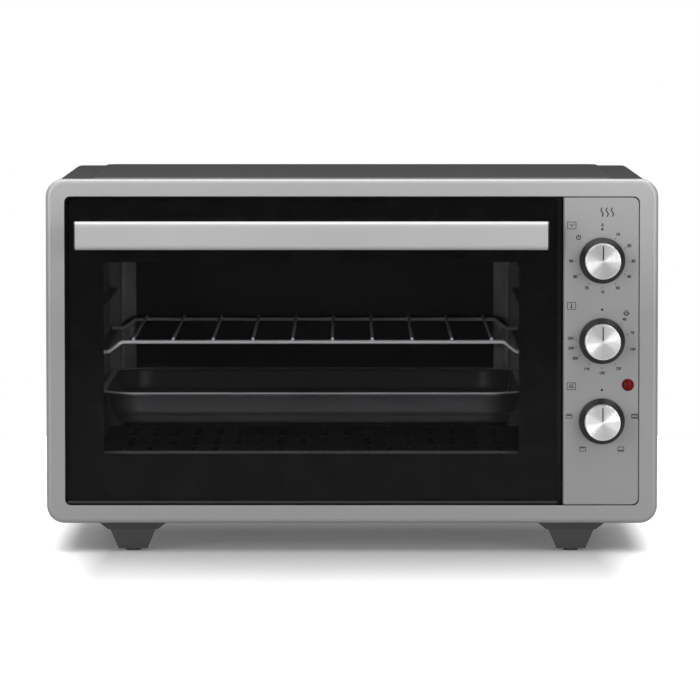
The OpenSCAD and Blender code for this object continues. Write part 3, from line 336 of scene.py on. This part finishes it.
FINISHES = {
    "front_bezel": BEZEL, "control_panel": PANEL, "outer_shell": SHELL, "rear_cover": SHELL,
    "base_plate": STEEL, "front_frame": CAVITY, "control_bracket": STEEL, "control_baffle": STEEL,
    "cavity_roof": CAVITY, "cavity_wall_left": CAVITY_WALL_PAINTED_LIGHT, "cavity_wall_right": CAVITY_WALL_PAINTED_LIGHT,
    "cavity_back": BACK_WALL, "cavity_floor": CAVITY_FLOOR, "heater_insulators": CERAMIC,
    "timer_unit": UNIT, "timer_bell": STEEL, "thermostat_unit": WHITE, "thermostat_bulb": COPPER,
    "selector_switch": BLACK, "lamp_lens": LAMP, "lamp_holder": WHITE, "foot_screws": SCREW,
    "cover_screws": SCREW, "terminal_block": WHITE, "wiring_harness": LEAD, "cord_gland": BLACK,
    "door_springs": STEEL, "door_glass": GLASS, "door_frame": DOOR_STEEL,
    "door_inner_glass": INNER_GLASS, "door_lower_trim": TRIM, "hinge_pins": STEEL,
    "handle_bar": HANDLE, "handle_screws": SCREW, "rack_cross_wires": CHROME, "rack_rods": CHROME,
    "baking_tray": TRAY,
}
for side in ("left", "right"):
    FINISHES["handle_end_" + side] = BLACK
    FINISHES["hinge_arm_" + side] = STEEL
    FINISHES["hinge_bracket_" + side] = DOOR_STEEL
    for end in ("front", "rear"):
        FINISHES[f"foot_{end}_{side}"] = FOOT
for level in ("top", "bottom"):
    for end in ("front", "rear"):
        FINISHES[f"heater_{level}_{end}"] = HEATER
for dial in DIALS:
    FINISHES[dial + "_knob"] = BLACK
    FINISHES[dial + "_knob_cap"] = CAP
    FINISHES[dial + "_shaft"] = STEEL

for node, material in FINISHES.items():
    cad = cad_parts[node]
    if not cad.material_slots:
        cad.data.materials.append(material)
    for cad_slot in cad.material_slots:
        cad_slot.material = material

# ---------------------------------------------------------------- making pieces


def finish_piece(piece, material, body, replaced=(), smooth=35):
    """Gives a new piece its material, shading and body; no body for one that bends."""
    mesh = piece.data
    mesh.materials.clear()
    mesh.materials.append(material)
    for face in mesh.polygons:
        face.use_smooth = True
    mesh.set_sharp_from_angle(angle=math.radians(smooth))
    if body:
        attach(piece, body)
    if replaced:
        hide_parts(*replaced)


def link_mesh(name, mesh):
    mesh.name = name
    piece = bpy.data.objects.new(name, mesh)
    bpy.context.scene.collection.objects.link(piece)
    return piece


def from_bmesh(name, shape):
    bmesh.ops.recalc_face_normals(shape, faces=shape.faces)
    mesh = bpy.data.meshes.new(name)
    shape.to_mesh(mesh)
    shape.free()
    return link_mesh(name, mesh)


def from_curve(name, curve, matrix=Matrix()):
    """Turns curve data into a mesh piece."""
    maker = bpy.data.objects.new(name + "_maker", curve)
    bpy.context.scene.collection.objects.link(maker)
    depsgraph = bpy.context.evaluated_depsgraph_get()
    mesh = bpy.data.meshes.new_from_object(maker.evaluated_get(depsgraph))
    bpy.data.objects.remove(maker)
    mesh.transform(matrix)
    return link_mesh(name, mesh)


def arc(cx, cy, radius, start, end, steps=6):
    """Points of an arc, angles in degrees."""
    return [(cx + radius * math.cos(math.radians(start + (end - start) * i / steps)),
             cy + radius * math.sin(math.radians(start + (end - start) * i / steps)))
            for i in range(steps + 1)]


def rounded_outline(x0, x1, z0, z1, radius, steps=8):
    """Points round a rectangle with round corners, anticlockwise."""
    points = []
    for k, (cx, cz) in enumerate([(x1 - radius, z1 - radius), (x0 + radius, z1 - radius),
                                  (x0 + radius, z0 + radius), (x1 - radius, z0 + radius)]):
        for i in range(steps + 1):
            angle = math.pi / 2 * (k + i / steps)
            points.append((cx + radius * math.cos(angle), cz + radius * math.sin(angle)))
    return points


UPRIGHT = Matrix(((1, 0, 0, 0), (0, 0, -1, 0), (0, 1, 0, 0), (0, 0, 0, 1)))


def flat_curve(name, outlines, thickness):
    """A filled flat curve whose outlines are points of (X, Z); inner outlines are holes."""
    curve = bpy.data.curves.new(name, "CURVE")
    curve.dimensions = "2D"
    curve.fill_mode = "BOTH"
    curve.extrude = thickness / 2
    for outline in outlines:
        spline = curve.splines.new("POLY")
        spline.points.add(len(outline) - 1)
        for point, (x, z) in zip(spline.points, outline):
            point.co = (x, z, 0, 1)
        spline.use_cyclic_u = True
    return curve


def plate(name, outlines, y_front, y_back):
    """A flat upright plate between two depths."""
    place = Matrix.Translation((0, (y_front + y_back) / 2, 0))
    return from_curve(name, flat_curve(name, outlines, y_back - y_front), place @ UPRIGHT)


def wire(name, paths, radius, sides=5):
    """Round wires along open paths of points, in one mesh."""
    curve = bpy.data.curves.new(name, "CURVE")
    curve.dimensions = "3D"
    curve.bevel_depth = radius
    curve.bevel_resolution = sides
    curve.use_fill_caps = True
    for path in paths:
        spline = curve.splines.new("POLY")
        spline.points.add(len(path) - 1)
        for point, place in zip(spline.points, path):
            point.co = (*place, 1)
    return from_curve(name, curve)


def rounded_path(corners, radius, steps=6):
    """A path whose inner corners are bent on a radius."""
    corners = [Vector(c) for c in corners]
    path = [corners[0]]
    for before, corner, after in zip(corners, corners[1:], corners[2:]):
        to_start = (before - corner).normalized()
        to_end = (after - corner).normalized()
        half = to_start.angle(to_end) / 2
        reach = min(radius / math.tan(half), (before - corner).length * 0.49, (after - corner).length * 0.49)
        start = corner + to_start * reach
        end = corner + to_end * reach
        for i in range(steps + 1):
            t = i / steps
            path.append(start * (1 - t) ** 2 + corner * 2 * t * (1 - t) + end * t ** 2)
    path.append(corners[-1])
    return path


def lathe(name, profile, centre, segments=96):
    """Spins a profile of (radius, distance forward) about an axis along Y through centre."""
    shape = bmesh.new()
    rings = []
    for radius, forward in profile:
        if radius == 0:
            rings.append([shape.verts.new((centre.x, centre.y - forward, centre.z))])
            continue
        rings.append([shape.verts.new((centre.x + radius * math.sin(a), centre.y - forward,
                                       centre.z + radius * math.cos(a)))
                      for a in (2 * math.pi * k / segments for k in range(segments))])
    for first, second in zip(rings, rings[1:]):
        for k in range(segments):
            after = (k + 1) % segments
            if len(first) == 1:
                shape.faces.new((first[0], second[k], second[after]))
            elif len(second) == 1:
                shape.faces.new((first[k], first[after], second[0]))
            else:
                shape.faces.new((first[k], first[after], second[after], second[k]))
    return from_bmesh(name, shape)


# ---------------------------------------------------------------- door


WINDOW = (-0.2114, 0.1420, 0.0833, 0.2466)       # left, right, bottom and top of the clear part
SPRING_ENDS_Z = (0.0408, 0.05)                   # heights of its hooks in the hinge arm and the base


def add_glass_print():
    """Black print on the back of the outer glass, round the window."""
    lo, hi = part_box("door_glass")
    margin = 0.3 * MM
    corner = 2.7 * MM
    window_corner = 2.5 * MM
    gap, thickness = 0.05 * MM, 0.15 * MM
    outer = rounded_outline(lo.x + margin, hi.x - margin, lo.z + margin, hi.z - margin, corner)
    window = rounded_outline(*WINDOW, window_corner)
    front = GLASS_BACK_Y + gap
    piece = plate("door_print", [outer, window], front, front + thickness)
    finish_piece(piece, PRINT, "door")


def add_springs():
    """Wound tension springs between the hinge arms and the base."""
    lo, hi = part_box("door_springs")
    wire_radius = 0.8 * MM
    coil_radius = 2.8 * MM
    turns = 34
    steps = 12                                   # to a turn
    hook = 9 * MM                                # from a hook's corner to the coil
    straight = 0.7                               # how much of that is straight
    bent_end = 7 * MM                            # the hook's end, which goes through its hole
    inset = coil_radius + wire_radius
    arm_y, anchor_y = lo.y + wire_radius, hi.y - wire_radius
    coil_start = hook / (anchor_y - arm_y)
    coil_end = 1 - coil_start
    for side, x, inward in (("left", lo.x + inset, 1), ("right", hi.x - inset, -1)):
        arm = Vector((x, arm_y, SPRING_ENDS_Z[0]))
        anchor = Vector((x, anchor_y, SPRING_ENDS_Z[1]))
        bent = Vector((inward * bent_end, 0, 0))
        path = [arm + bent, arm, arm.lerp(anchor, coil_start * straight)]
        for i in range(turns * steps + 1):
            angle = 2 * math.pi * i / steps
            along = coil_start + (coil_end - coil_start) * i / (turns * steps)
            offset = Vector((math.cos(angle), 0, math.sin(angle))) * coil_radius
            path.append(arm.lerp(anchor, along) + offset)
        path += [arm.lerp(anchor, 1 - coil_start * straight), anchor, anchor + bent]
        piece = wire("door_spring_" + side, [path], wire_radius, 3)
        finish_piece(piece, STEEL, None, ("door_springs",), 60)
        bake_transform(piece)


# ---------------------------------------------------------------- rack and tray


def add_rack():
    """The rack's two bent cross wires and its long wires."""
    lo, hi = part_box("rack_cross_wires")
    rods_lo, rods_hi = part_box("rack_rods")
    cross = 1.7 * MM
    long = 1.25 * MM
    ear_z = lo.z + cross
    top_z = hi.z - cross
    ear = 10 * MM                                # the flat end that slides on a rib
    run_to_rise = 4 / 3
    bend = 4 * MM
    slope = ear + (top_z - ear_z) * run_to_rise
    paths = []
    for y in (lo.y + cross, hi.y - cross):
        corners = [(lo.x, y, ear_z), (lo.x + ear, y, ear_z), (lo.x + slope, y, top_z),
                   (hi.x - slope, y, top_z), (hi.x - ear, y, ear_z), (hi.x, y, ear_z)]
        paths.append(rounded_path(corners, bend))
    piece = wire("rack_bent_wires", paths, cross, 6)
    finish_piece(piece, CHROME, "rack", ("rack_cross_wires",), 60)
    rods = 10
    pitch = (rods_hi.x - rods_lo.x - 2 * long) / (rods - 1)
    z = (rods_lo.z + rods_hi.z) / 2
    lines = [[(rods_lo.x + long + i * pitch, rods_lo.y, z), (rods_lo.x + long + i * pitch, rods_hi.y, z)]
             for i in range(rods)]
    piece = wire("rack_long_wires", lines, long, 5)
    finish_piece(piece, CHROME, "rack", ("rack_rods",), 60)


def ring_dish(name, centre, width, length, radius, profile, steps=12):
    """A dish made of rounded rectangles; the profile lists (inset, height) from the inside of the
    bottom, over the rim, to the underside."""
    shape = bmesh.new()
    rings = []
    for inset, height in profile:
        outline = rounded_outline(inset - width / 2, width / 2 - inset, inset - length / 2,
                                  length / 2 - inset, radius - inset, steps)
        rings.append([shape.verts.new((centre.x + x, centre.y + y, centre.z + height))
                      for x, y in outline])
    count = len(rings[0])
    for first, second in zip(rings, rings[1:]):
        for k in range(count):
            after = (k + 1) % count
            shape.faces.new((first[k], first[after], second[after], second[k]))
    shape.faces.new(rings[0])
    shape.faces.new(rings[-1])
    return from_bmesh(name, shape)


def add_tray():
    """The pressed tray with its rolled rim, which has a painted highlight: a far paler copy of the tray's
    enamel.
    """
    lo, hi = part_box("baking_tray")
    corner = 40 * MM
    rim_depth = 0.8 * MM
    centre = Vector(((lo.x + hi.x) / 2, (lo.y + hi.y) / 2, hi.z))
    # the inner face from the bottom up to the rolled rim, as (inset, height) in millimetres
    inside = [(22.0, -26.0), (17.0, -26.0), (15.0, -25.4), (13.7, -23.8), (12.6, -20.4), (12.1, -19.3),
              (11.2, -18.6), (10.2, -18.2), (9.2, -17.4), (8.7, -16.0), (6.9, -3.4), (6.3, -1.6),
              (5.3, -0.5), (4.0, 0.0), (1.6, 0.0), (0.6, -0.3), (0.1, -1.1), (0.0, -2.0)]
    # the outer face from the rim's underside down to the bottom
    outside = [(0.1, -3.0), (0.6, -3.5), (1.0, -3.2), (0.9, -1.6), (1.8, -0.9), (4.0, -0.9), (5.0, -1.3),
               (5.7, -2.2), (7.8, -16.4), (8.4, -18.0), (9.8, -19.1), (11.2, -19.9), (11.8, -21.0),
               (12.9, -24.4), (14.4, -26.2), (17.0, -26.8), (22.0, -26.8)]
    profile = [(inset * MM, height * MM) for inset, height in inside + outside]
    piece = ring_dish("tray", centre, hi.x - lo.x, hi.y - lo.y, corner, profile)
    finish_piece(piece, TRAY, "tray", ("baking_tray",), 50)
    # painted highlight on the top of the rolled rim
    piece.data.materials.append(TRAY_RIM_HIGHLIGHT)
    for face in piece.data.polygons:
        if face.center.z > centre.z - rim_depth:
            face.material_index = 1


# ---------------------------------------------------------------- knobs


def add_knob(dial):
    """A knob's moulded skirt, its turned cap and the pointer line on it."""
    body = dial + "_dial"
    lo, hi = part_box(dial + "_knob")
    cap_lo, cap_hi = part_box(dial + "_knob_cap")
    centre = Vector(((lo.x + hi.x) / 2, hi.y, (lo.z + hi.z) / 2))
    skirt = (hi.x - lo.x) / 2
    cap = (cap_hi.x - cap_lo.x) / 2
    tall = centre.y - cap_lo.y
    seat = centre.y - cap_hi.y
    collar = cap - 1.3 * MM
    under_cap = seat - 0.1 * MM
    collar_top = seat + 4 * MM
    skirt_profile = [(0.0, 0.0), (skirt - 0.6 * MM, 0.0), (skirt, 0.5 * MM), (skirt, 1.5 * MM),
                     (skirt - 0.3 * MM, 2.1 * MM), (skirt - 1.2 * MM, 2.9 * MM),
                     (cap + 1.6 * MM, 4.2 * MM), (cap + 0.8 * MM, 4.9 * MM), (cap + 0.5 * MM, 5.6 * MM),
                     (cap + 0.2 * MM, under_cap), (collar, under_cap), (collar, collar_top),
                     (0.0, collar_top)]
    piece = lathe(dial + "_skirt", skirt_profile, centre)
    finish_piece(piece, BLACK, body, (dial + "_knob",), 30)
    edge = 0.6 * MM
    cap_profile = [(cap - 1.0 * MM, seat), (cap, seat), (cap, tall - edge)]
    cap_profile += [(cap - edge + x, tall - edge + y) for x, y in arc(0, 0, edge, 0, 80, 5)]
    cap_profile += [(cap - edge - 0.4 * MM, tall - 0.03 * MM), (cap * 0.5, tall - 0.01 * MM), (0.0, tall)]
    piece = lathe(dial + "_cap", cap_profile, centre, 128)
    finish_piece(piece, CAP, body, (dial + "_knob_cap",), 30)
    line = [(centre.x + x, centre.z + z) for x, z in
            rounded_outline(-0.5 * MM, 0.5 * MM, 1.5 * MM, cap - 1.9 * MM, 0.3 * MM, 3)]
    piece = plate(dial + "_pointer", [line], cap_lo.y - 0.06 * MM, cap_lo.y + 0.3 * MM)
    finish_piece(piece, INK, body)


# ---------------------------------------------------------------- print on the control panel


INK_THICKNESS = 0.04 * MM
FIGURE = 3.5 * MM                                # size of the figures
STROKE = 0.55 * MM
FIGURE_RING = 26.3 * MM                          # from a dial's middle to its figures
TICK_RING = 22.0 * MM
HEATS = {"40": 45, "80": 74, "100": 104, "120": 149, "150": 180, "180": 209, "200": 238, "230": 258,
         "250": 276}                             # the thermostat's figures and their angles


class Ink:
    """Collects flat printed shapes on the panel's face and makes one piece of them."""

    def __init__(self):
        self.parts = []

    def outline(self, points):
        self.parts.append(from_curve("ink_part", flat_curve("ink", [points], INK_THICKNESS), UPRIGHT))

    def dot(self, x, z, radius):
        self.outline([(x + radius * math.cos(a), z + radius * math.sin(a))
                      for a in (2 * math.pi * k / 20 for k in range(20))])

    def line(self, points, width, closed=False):
        """A stroke of even width along points."""
        points = [Vector(p) for p in points]
        if closed:
            points.append(points[0])
        for start, end in zip(points, points[1:]):
            along = (end - start).normalized() * width / 2
            across = Vector((-along.y, along.x))
            self.outline([tuple(start - along + across), tuple(start - along - across),
                          tuple(end + along - across), tuple(end + along + across)])

    def tick(self, dial, degrees):
        self.line([around(dial, degrees, TICK_RING), around(dial, degrees, TICK_RING + 0.8 * MM)], STROKE)

    def text(self, words, x, z, size):
        curve = bpy.data.curves.new("ink", "FONT")
        curve.body = words
        curve.size = size
        curve.align_x = "CENTER"
        curve.align_y = "CENTER"
        curve.extrude = INK_THICKNESS / 2
        curve.offset = 0.15 * MM                 # makes the strokes bolder
        self.parts.append(from_curve("ink_part", curve, Matrix.Translation((x, 0, z)) @ UPRIGHT))

    def piece(self, name, y):
        shape = bmesh.new()
        for part in self.parts:
            shape.from_mesh(part.data)
            bpy.data.objects.remove(part)
        bmesh.ops.translate(shape, vec=(0, y, 0), verts=shape.verts)
        return from_bmesh(name, shape)


def around(dial, degrees, radius):
    """The place on the panel at a clockwise angle from a dial's top."""
    centre = middle(dial + "_knob")
    angle = math.radians(degrees)
    return centre.x + radius * math.sin(angle), centre.z + radius * math.cos(angle) - 0.6 * MM


def print_scales(ink):
    """The dots over the dials, and the figures round the timer and the thermostat."""
    for dial in DIALS:
        ink.dot(*around(dial, 0, 27.2 * MM), 1.05 * MM)
    ink.text("0", *around("timer", 0, 30.6 * MM), FIGURE)
    for minutes in range(10, 100, 10):
        degrees = 3 * minutes
        ink.text(str(minutes), *around("timer", degrees, FIGURE_RING), FIGURE)
        ink.tick("timer", degrees)
    for words, degrees in HEATS.items():
        ink.text(words, *around("thermostat", degrees, FIGURE_RING + 0.5 * MM), FIGURE * 0.92)
        ink.tick("thermostat", degrees)


def print_on_symbol(ink):
    """The timer's stay-on mark: a ring that is open at the top, with a bar in it."""
    x, z = around("timer", 315, 28.5 * MM)
    size = 1.7 * MM
    ink.line(arc(x, z, size, 125, 415, 16), STROKE * 1.3)
    ink.line([(x, z + 0.3 * size), (x, z + 1.3 * size)], STROKE * 1.3)


def print_bowl(ink):
    """A steaming bowl beside the thermostat's low setting."""
    x, z = around("thermostat", 40, 32.0 * MM)
    ink.line(arc(x, z, 2.0 * MM, 180, 360, 10), STROKE * 1.5)
    ink.line([(x - 2.4 * MM, z), (x + 2.4 * MM, z)], STROKE * 1.2)
    for i in (-1, 0, 1):
        steam = x + i * 1.1 * MM
        ink.line([(steam, z + 0.9 * MM), (steam, z + 2.1 * MM)], STROKE)


def print_functions(ink):
    """The selector's settings: boxes with bars at top and bottom, at one of them, and with a grill."""
    wide, tall = 5.2 * MM, 3.6 * MM
    bar = 1.7 * MM
    from_middle = 1.0 * MM
    for degrees, signs in ((80, "tb"), (145, "b"), (215, "t"), (280, "g")):
        x, z = around("selector", degrees, 28.3 * MM)
        corners = rounded_outline(x - wide / 2, x + wide / 2, z - tall / 2, z + tall / 2, 0.5 * MM, 2)
        ink.line(corners, STROKE * 0.9, closed=True)
        if "t" in signs:
            ink.line([(x - bar, z + from_middle), (x + bar, z + from_middle)], STROKE * 1.3)
        if "b" in signs:
            ink.line([(x - bar, z - from_middle), (x + bar, z - from_middle)], STROKE * 1.3)
        if "g" in signs:
            zigzag = [(x + (i - 3) * 0.6 * MM, z + (0.2 + 0.9 * (i % 2)) * MM) for i in range(7)]
            ink.line(zigzag, STROKE)


def print_dial_signs(ink):
    """A boxed sign at the upper left of each dial: clock hands, a thermometer, and bars."""
    half_wide, half_tall = 3.6 * MM, 2.9 * MM
    x = middle("timer_knob").x - 26 * MM
    for dial in DIALS:
        z = middle(dial + "_knob").z + 29.8 * MM
        corners = rounded_outline(x - half_wide, x + half_wide, z - half_tall, z + half_tall, 0.8 * MM, 3)
        ink.line(corners, STROKE * 0.9, closed=True)
        if dial == "timer":
            ink.line([(x - 1.5 * MM, z + 1.1 * MM), (x, z - 0.7 * MM), (x + 1.6 * MM, z + 1.2 * MM)], STROKE)
        elif dial == "thermostat":
            ink.line([(x, z - 0.6 * MM), (x, z + 1.7 * MM)], STROKE * 1.4)
            ink.dot(x, z - 1.1 * MM, 0.8 * MM)
        else:
            for i in (-1, 0, 1):
                ink.line([(x - 1.7 * MM, z + i * 1.1 * MM), (x + 1.7 * MM, z + i * 1.1 * MM)], STROKE)


def print_heat_waves(ink):
    """Three heat waves, a plain sign at the top of the panel."""
    tall, swing, pitch, steps = 7 * MM, 0.9 * MM, 4.4 * MM, 12
    x = middle("control_panel").x + 5 * MM
    z = high("control_panel").z - 12.4 * MM
    for i in (-1, 0, 1):
        wave = [(x + i * pitch + swing * math.sin(2 * math.pi * k / steps), z + (k / steps - 0.5) * tall)
                for k in range(steps + 1)]
        ink.line(wave, 0.8 * MM)


def add_panel_print():
    ink = Ink()
    print_scales(ink)
    print_on_symbol(ink)
    print_bowl(ink)
    print_functions(ink)
    print_dial_signs(ink)
    print_heat_waves(ink)
    piece = ink.piece("panel_print", PANEL_Y - 0.04 * MM)
    finish_piece(piece, INK, "housing")


add_glass_print()
add_springs()
add_rack()
add_tray()
for dial in DIALS:
    add_knob(dial)
add_panel_print()

# ---------------------------------------------------------------- camera, lights, floor

WORLD_SIDE = 0.15                                # the studio's strength at the horizon
WORLD_TOP = 0.35                                 # and overhead
WORLD_BACK = 0.25                                # the part of it that is left behind the object
FLOOR = (1.6, -2.4, 1.0)                         # half width, front edge, back edge
FLOOR_SEEN = (0.42, 3.0)                         # painted shadow: how pale the camera sees it, by the object and far off
FLOOR_FADE = (0.0, 2.06)                         # distances from the footprint over which that painted shadow fades
FLOOR_SIDE = (0.205, 12)                         # where it starts to the sides, and how much faster it is
FLOOR_FILL = (0.12, 0.34)                        # painted light: its glow up to the object's middle, and from its back on
FLOOR_ALBEDO = 0.6                               # for light that doesn't go straight to the camera
LIT = (0, -0.2, 0.2)                             # what the boxes in front point at
CAMERA_DISTANCE = 4.68
CAMERA_TILT = math.radians(3.93)
CAMERA_LENS = 283.3
AIM = Vector((-0.0017, FACE_Y, 0.1724))


def add_camera():
    """A long lens from a little above the object, as in the photograph."""
    data = bpy.data.cameras.new("camera")
    data.lens = CAMERA_LENS
    data.sensor_width = 36
    data.clip_end = 100
    camera = bpy.data.objects.new("camera", data)
    back = Vector((0, -math.cos(CAMERA_TILT), math.sin(CAMERA_TILT)))
    camera.location = AIM + back * CAMERA_DISTANCE
    camera.rotation_euler = (math.pi / 2 - CAMERA_TILT, 0, 0)
    bpy.context.scene.collection.objects.link(camera)
    bpy.context.scene.camera = camera


def add_softbox(name, place, target, width, height, watts):
    data = bpy.data.lights.new(name, "AREA")
    data.shape = "RECTANGLE"
    data.size = width
    data.size_y = height
    data.energy = watts
    lamp = bpy.data.objects.new(name, data)
    lamp.location = place
    lamp.rotation_euler = (Vector(target) - Vector(place)).to_track_quat("-Z", "Y").to_euler()
    bpy.context.scene.collection.objects.link(lamp)


def add_world():
    """A dim studio, brighter overhead and dark behind the object; seen directly it is plain white."""
    world = bpy.data.worlds.new("studio")
    bpy.context.scene.world = world
    world.use_nodes = True
    tree = world.node_tree
    tree.nodes.clear()

    def add(kind, **settings):
        node = tree.nodes.new(kind)
        for key, value in settings.items():
            setattr(node, key, value)
        return node

    def ramp(socket, start, end, first, last):
        node = add("ShaderNodeMapRange")
        tree.links.new(socket, node.inputs["Value"])
        node.inputs["From Min"].default_value = start
        node.inputs["From Max"].default_value = end
        node.inputs["To Min"].default_value = first
        node.inputs["To Max"].default_value = last
        return node.outputs[0]

    direction = add("ShaderNodeTexCoord").outputs["Generated"]
    split = add("ShaderNodeSeparateXYZ")
    tree.links.new(direction, split.inputs[0])
    overhead = ramp(split.outputs["Z"], 0.0, 0.9, WORLD_SIDE, WORLD_TOP)
    behind = ramp(split.outputs["Y"], -0.2, 0.7, 1.0, WORLD_BACK)
    strength = add("ShaderNodeMath", operation="MULTIPLY")
    tree.links.new(overhead, strength.inputs[0])
    tree.links.new(behind, strength.inputs[1])
    studio = add("ShaderNodeBackground")
    studio.inputs["Color"].default_value = (1, 1, 1, 1)
    tree.links.new(strength.outputs[0], studio.inputs["Strength"])
    backdrop = add("ShaderNodeBackground")
    backdrop.inputs["Color"].default_value = (1, 1, 1, 1)
    backdrop.inputs["Strength"].default_value = 1.0
    rays = add("ShaderNodeLightPath")
    mix = add("ShaderNodeMixShader")
    tree.links.new(rays.outputs["Is Camera Ray"], mix.inputs[0])
    tree.links.new(studio.outputs[0], mix.inputs[1])
    tree.links.new(backdrop.outputs[0], mix.inputs[2])
    tree.links.new(mix.outputs[0], add("ShaderNodeOutputWorld").inputs["Surface"])


def add_floor():
    """A white floor that the camera sees brighter than the object does, so that only its shadow shows; near
    the footprint a painted shadow darkens it, and a painted glow lifts it under the object.
    """
    mesh = bpy.data.meshes.new("floor")
    x, front, back = FLOOR
    mesh.from_pydata([(-x, front, 0), (x, front, 0), (x, back, 0), (-x, back, 0)], [], [(0, 1, 2, 3)])
    floor = bpy.data.objects.new("floor", mesh)
    bpy.context.scene.collection.objects.link(floor)
    n = Nodes("pale_floor")
    paper = n.spread(n.noise(3, 2.0), 0.98, 1.0)
    half = (CAD_BOX[1] - CAD_BOX[0]) / 2
    side, faster = FLOOR_SIDE
    past = n.vector_maths("SUBTRACT", n.vector_maths("ABSOLUTE", n.place), (side, half.y, 0))
    beyond = n.vector_maths("MAXIMUM", n.vector_maths("MULTIPLY", past, (faster, 1, 0)), (0, 0, 0))
    away = n.add("ShaderNodeVectorMath", operation="LENGTH")
    n.feed(away.inputs[0], beyond)
    # painted shadow: the camera's gain on the floor is low by the footprint and grows away from it
    painted_shadow_gain = n.spread(away.outputs["Value"], *FLOOR_SEEN, *FLOOR_FADE)
    lit = n.add("ShaderNodeBsdfDiffuse")
    n.feed(lit.inputs["Color"], n.maths("MULTIPLY", paper, painted_shadow_gain))
    # painted light: a glow over the floor that lifts the shadow under the object, stronger towards its back
    painted_glow = n.add("ShaderNodeEmission")
    n.feed(painted_glow.inputs["Strength"], n.spread(n.along("Y"), *FLOOR_FILL, 0.0, half.y))
    seen = n.add("ShaderNodeAddShader")
    n.feed(seen.inputs[0], lit.outputs[0])
    n.feed(seen.inputs[1], painted_glow.outputs[0])
    unseen = n.add("ShaderNodeBsdfDiffuse")
    n.feed(unseen.inputs["Color"], n.maths("MULTIPLY", paper, FLOOR_ALBEDO))
    rays = n.add("ShaderNodeLightPath")
    mix = n.add("ShaderNodeMixShader")
    n.feed(mix.inputs[0], rays.outputs["Is Camera Ray"])
    n.feed(mix.inputs[1], unseen.outputs[0])
    n.feed(mix.inputs[2], seen.outputs[0])
    n.feed(n.output.inputs["Surface"], mix.outputs[0])
    mesh.materials.append(n.material)


def add_lights():
    """One large softbox overhead, and a low and a high one to either side in front."""
    add_softbox("top", (0, 0.4, 2.3), (0, 0.2, 0), 3.4, 2.2, 75)
    for side, way in (("left", -1), ("right", 1)):
        add_softbox(side, (way * 1.7, -2.6, 0.62), LIT, 1.0, 1.2, 26)
        add_softbox("upper_" + side, (way * 0.9, -1.1, 1.25), LIT, 1.0, 0.4, 4.5)


add_camera()
add_world()
add_floor()
add_lights()
bpy.context.scene.view_settings.view_transform = "Standard"
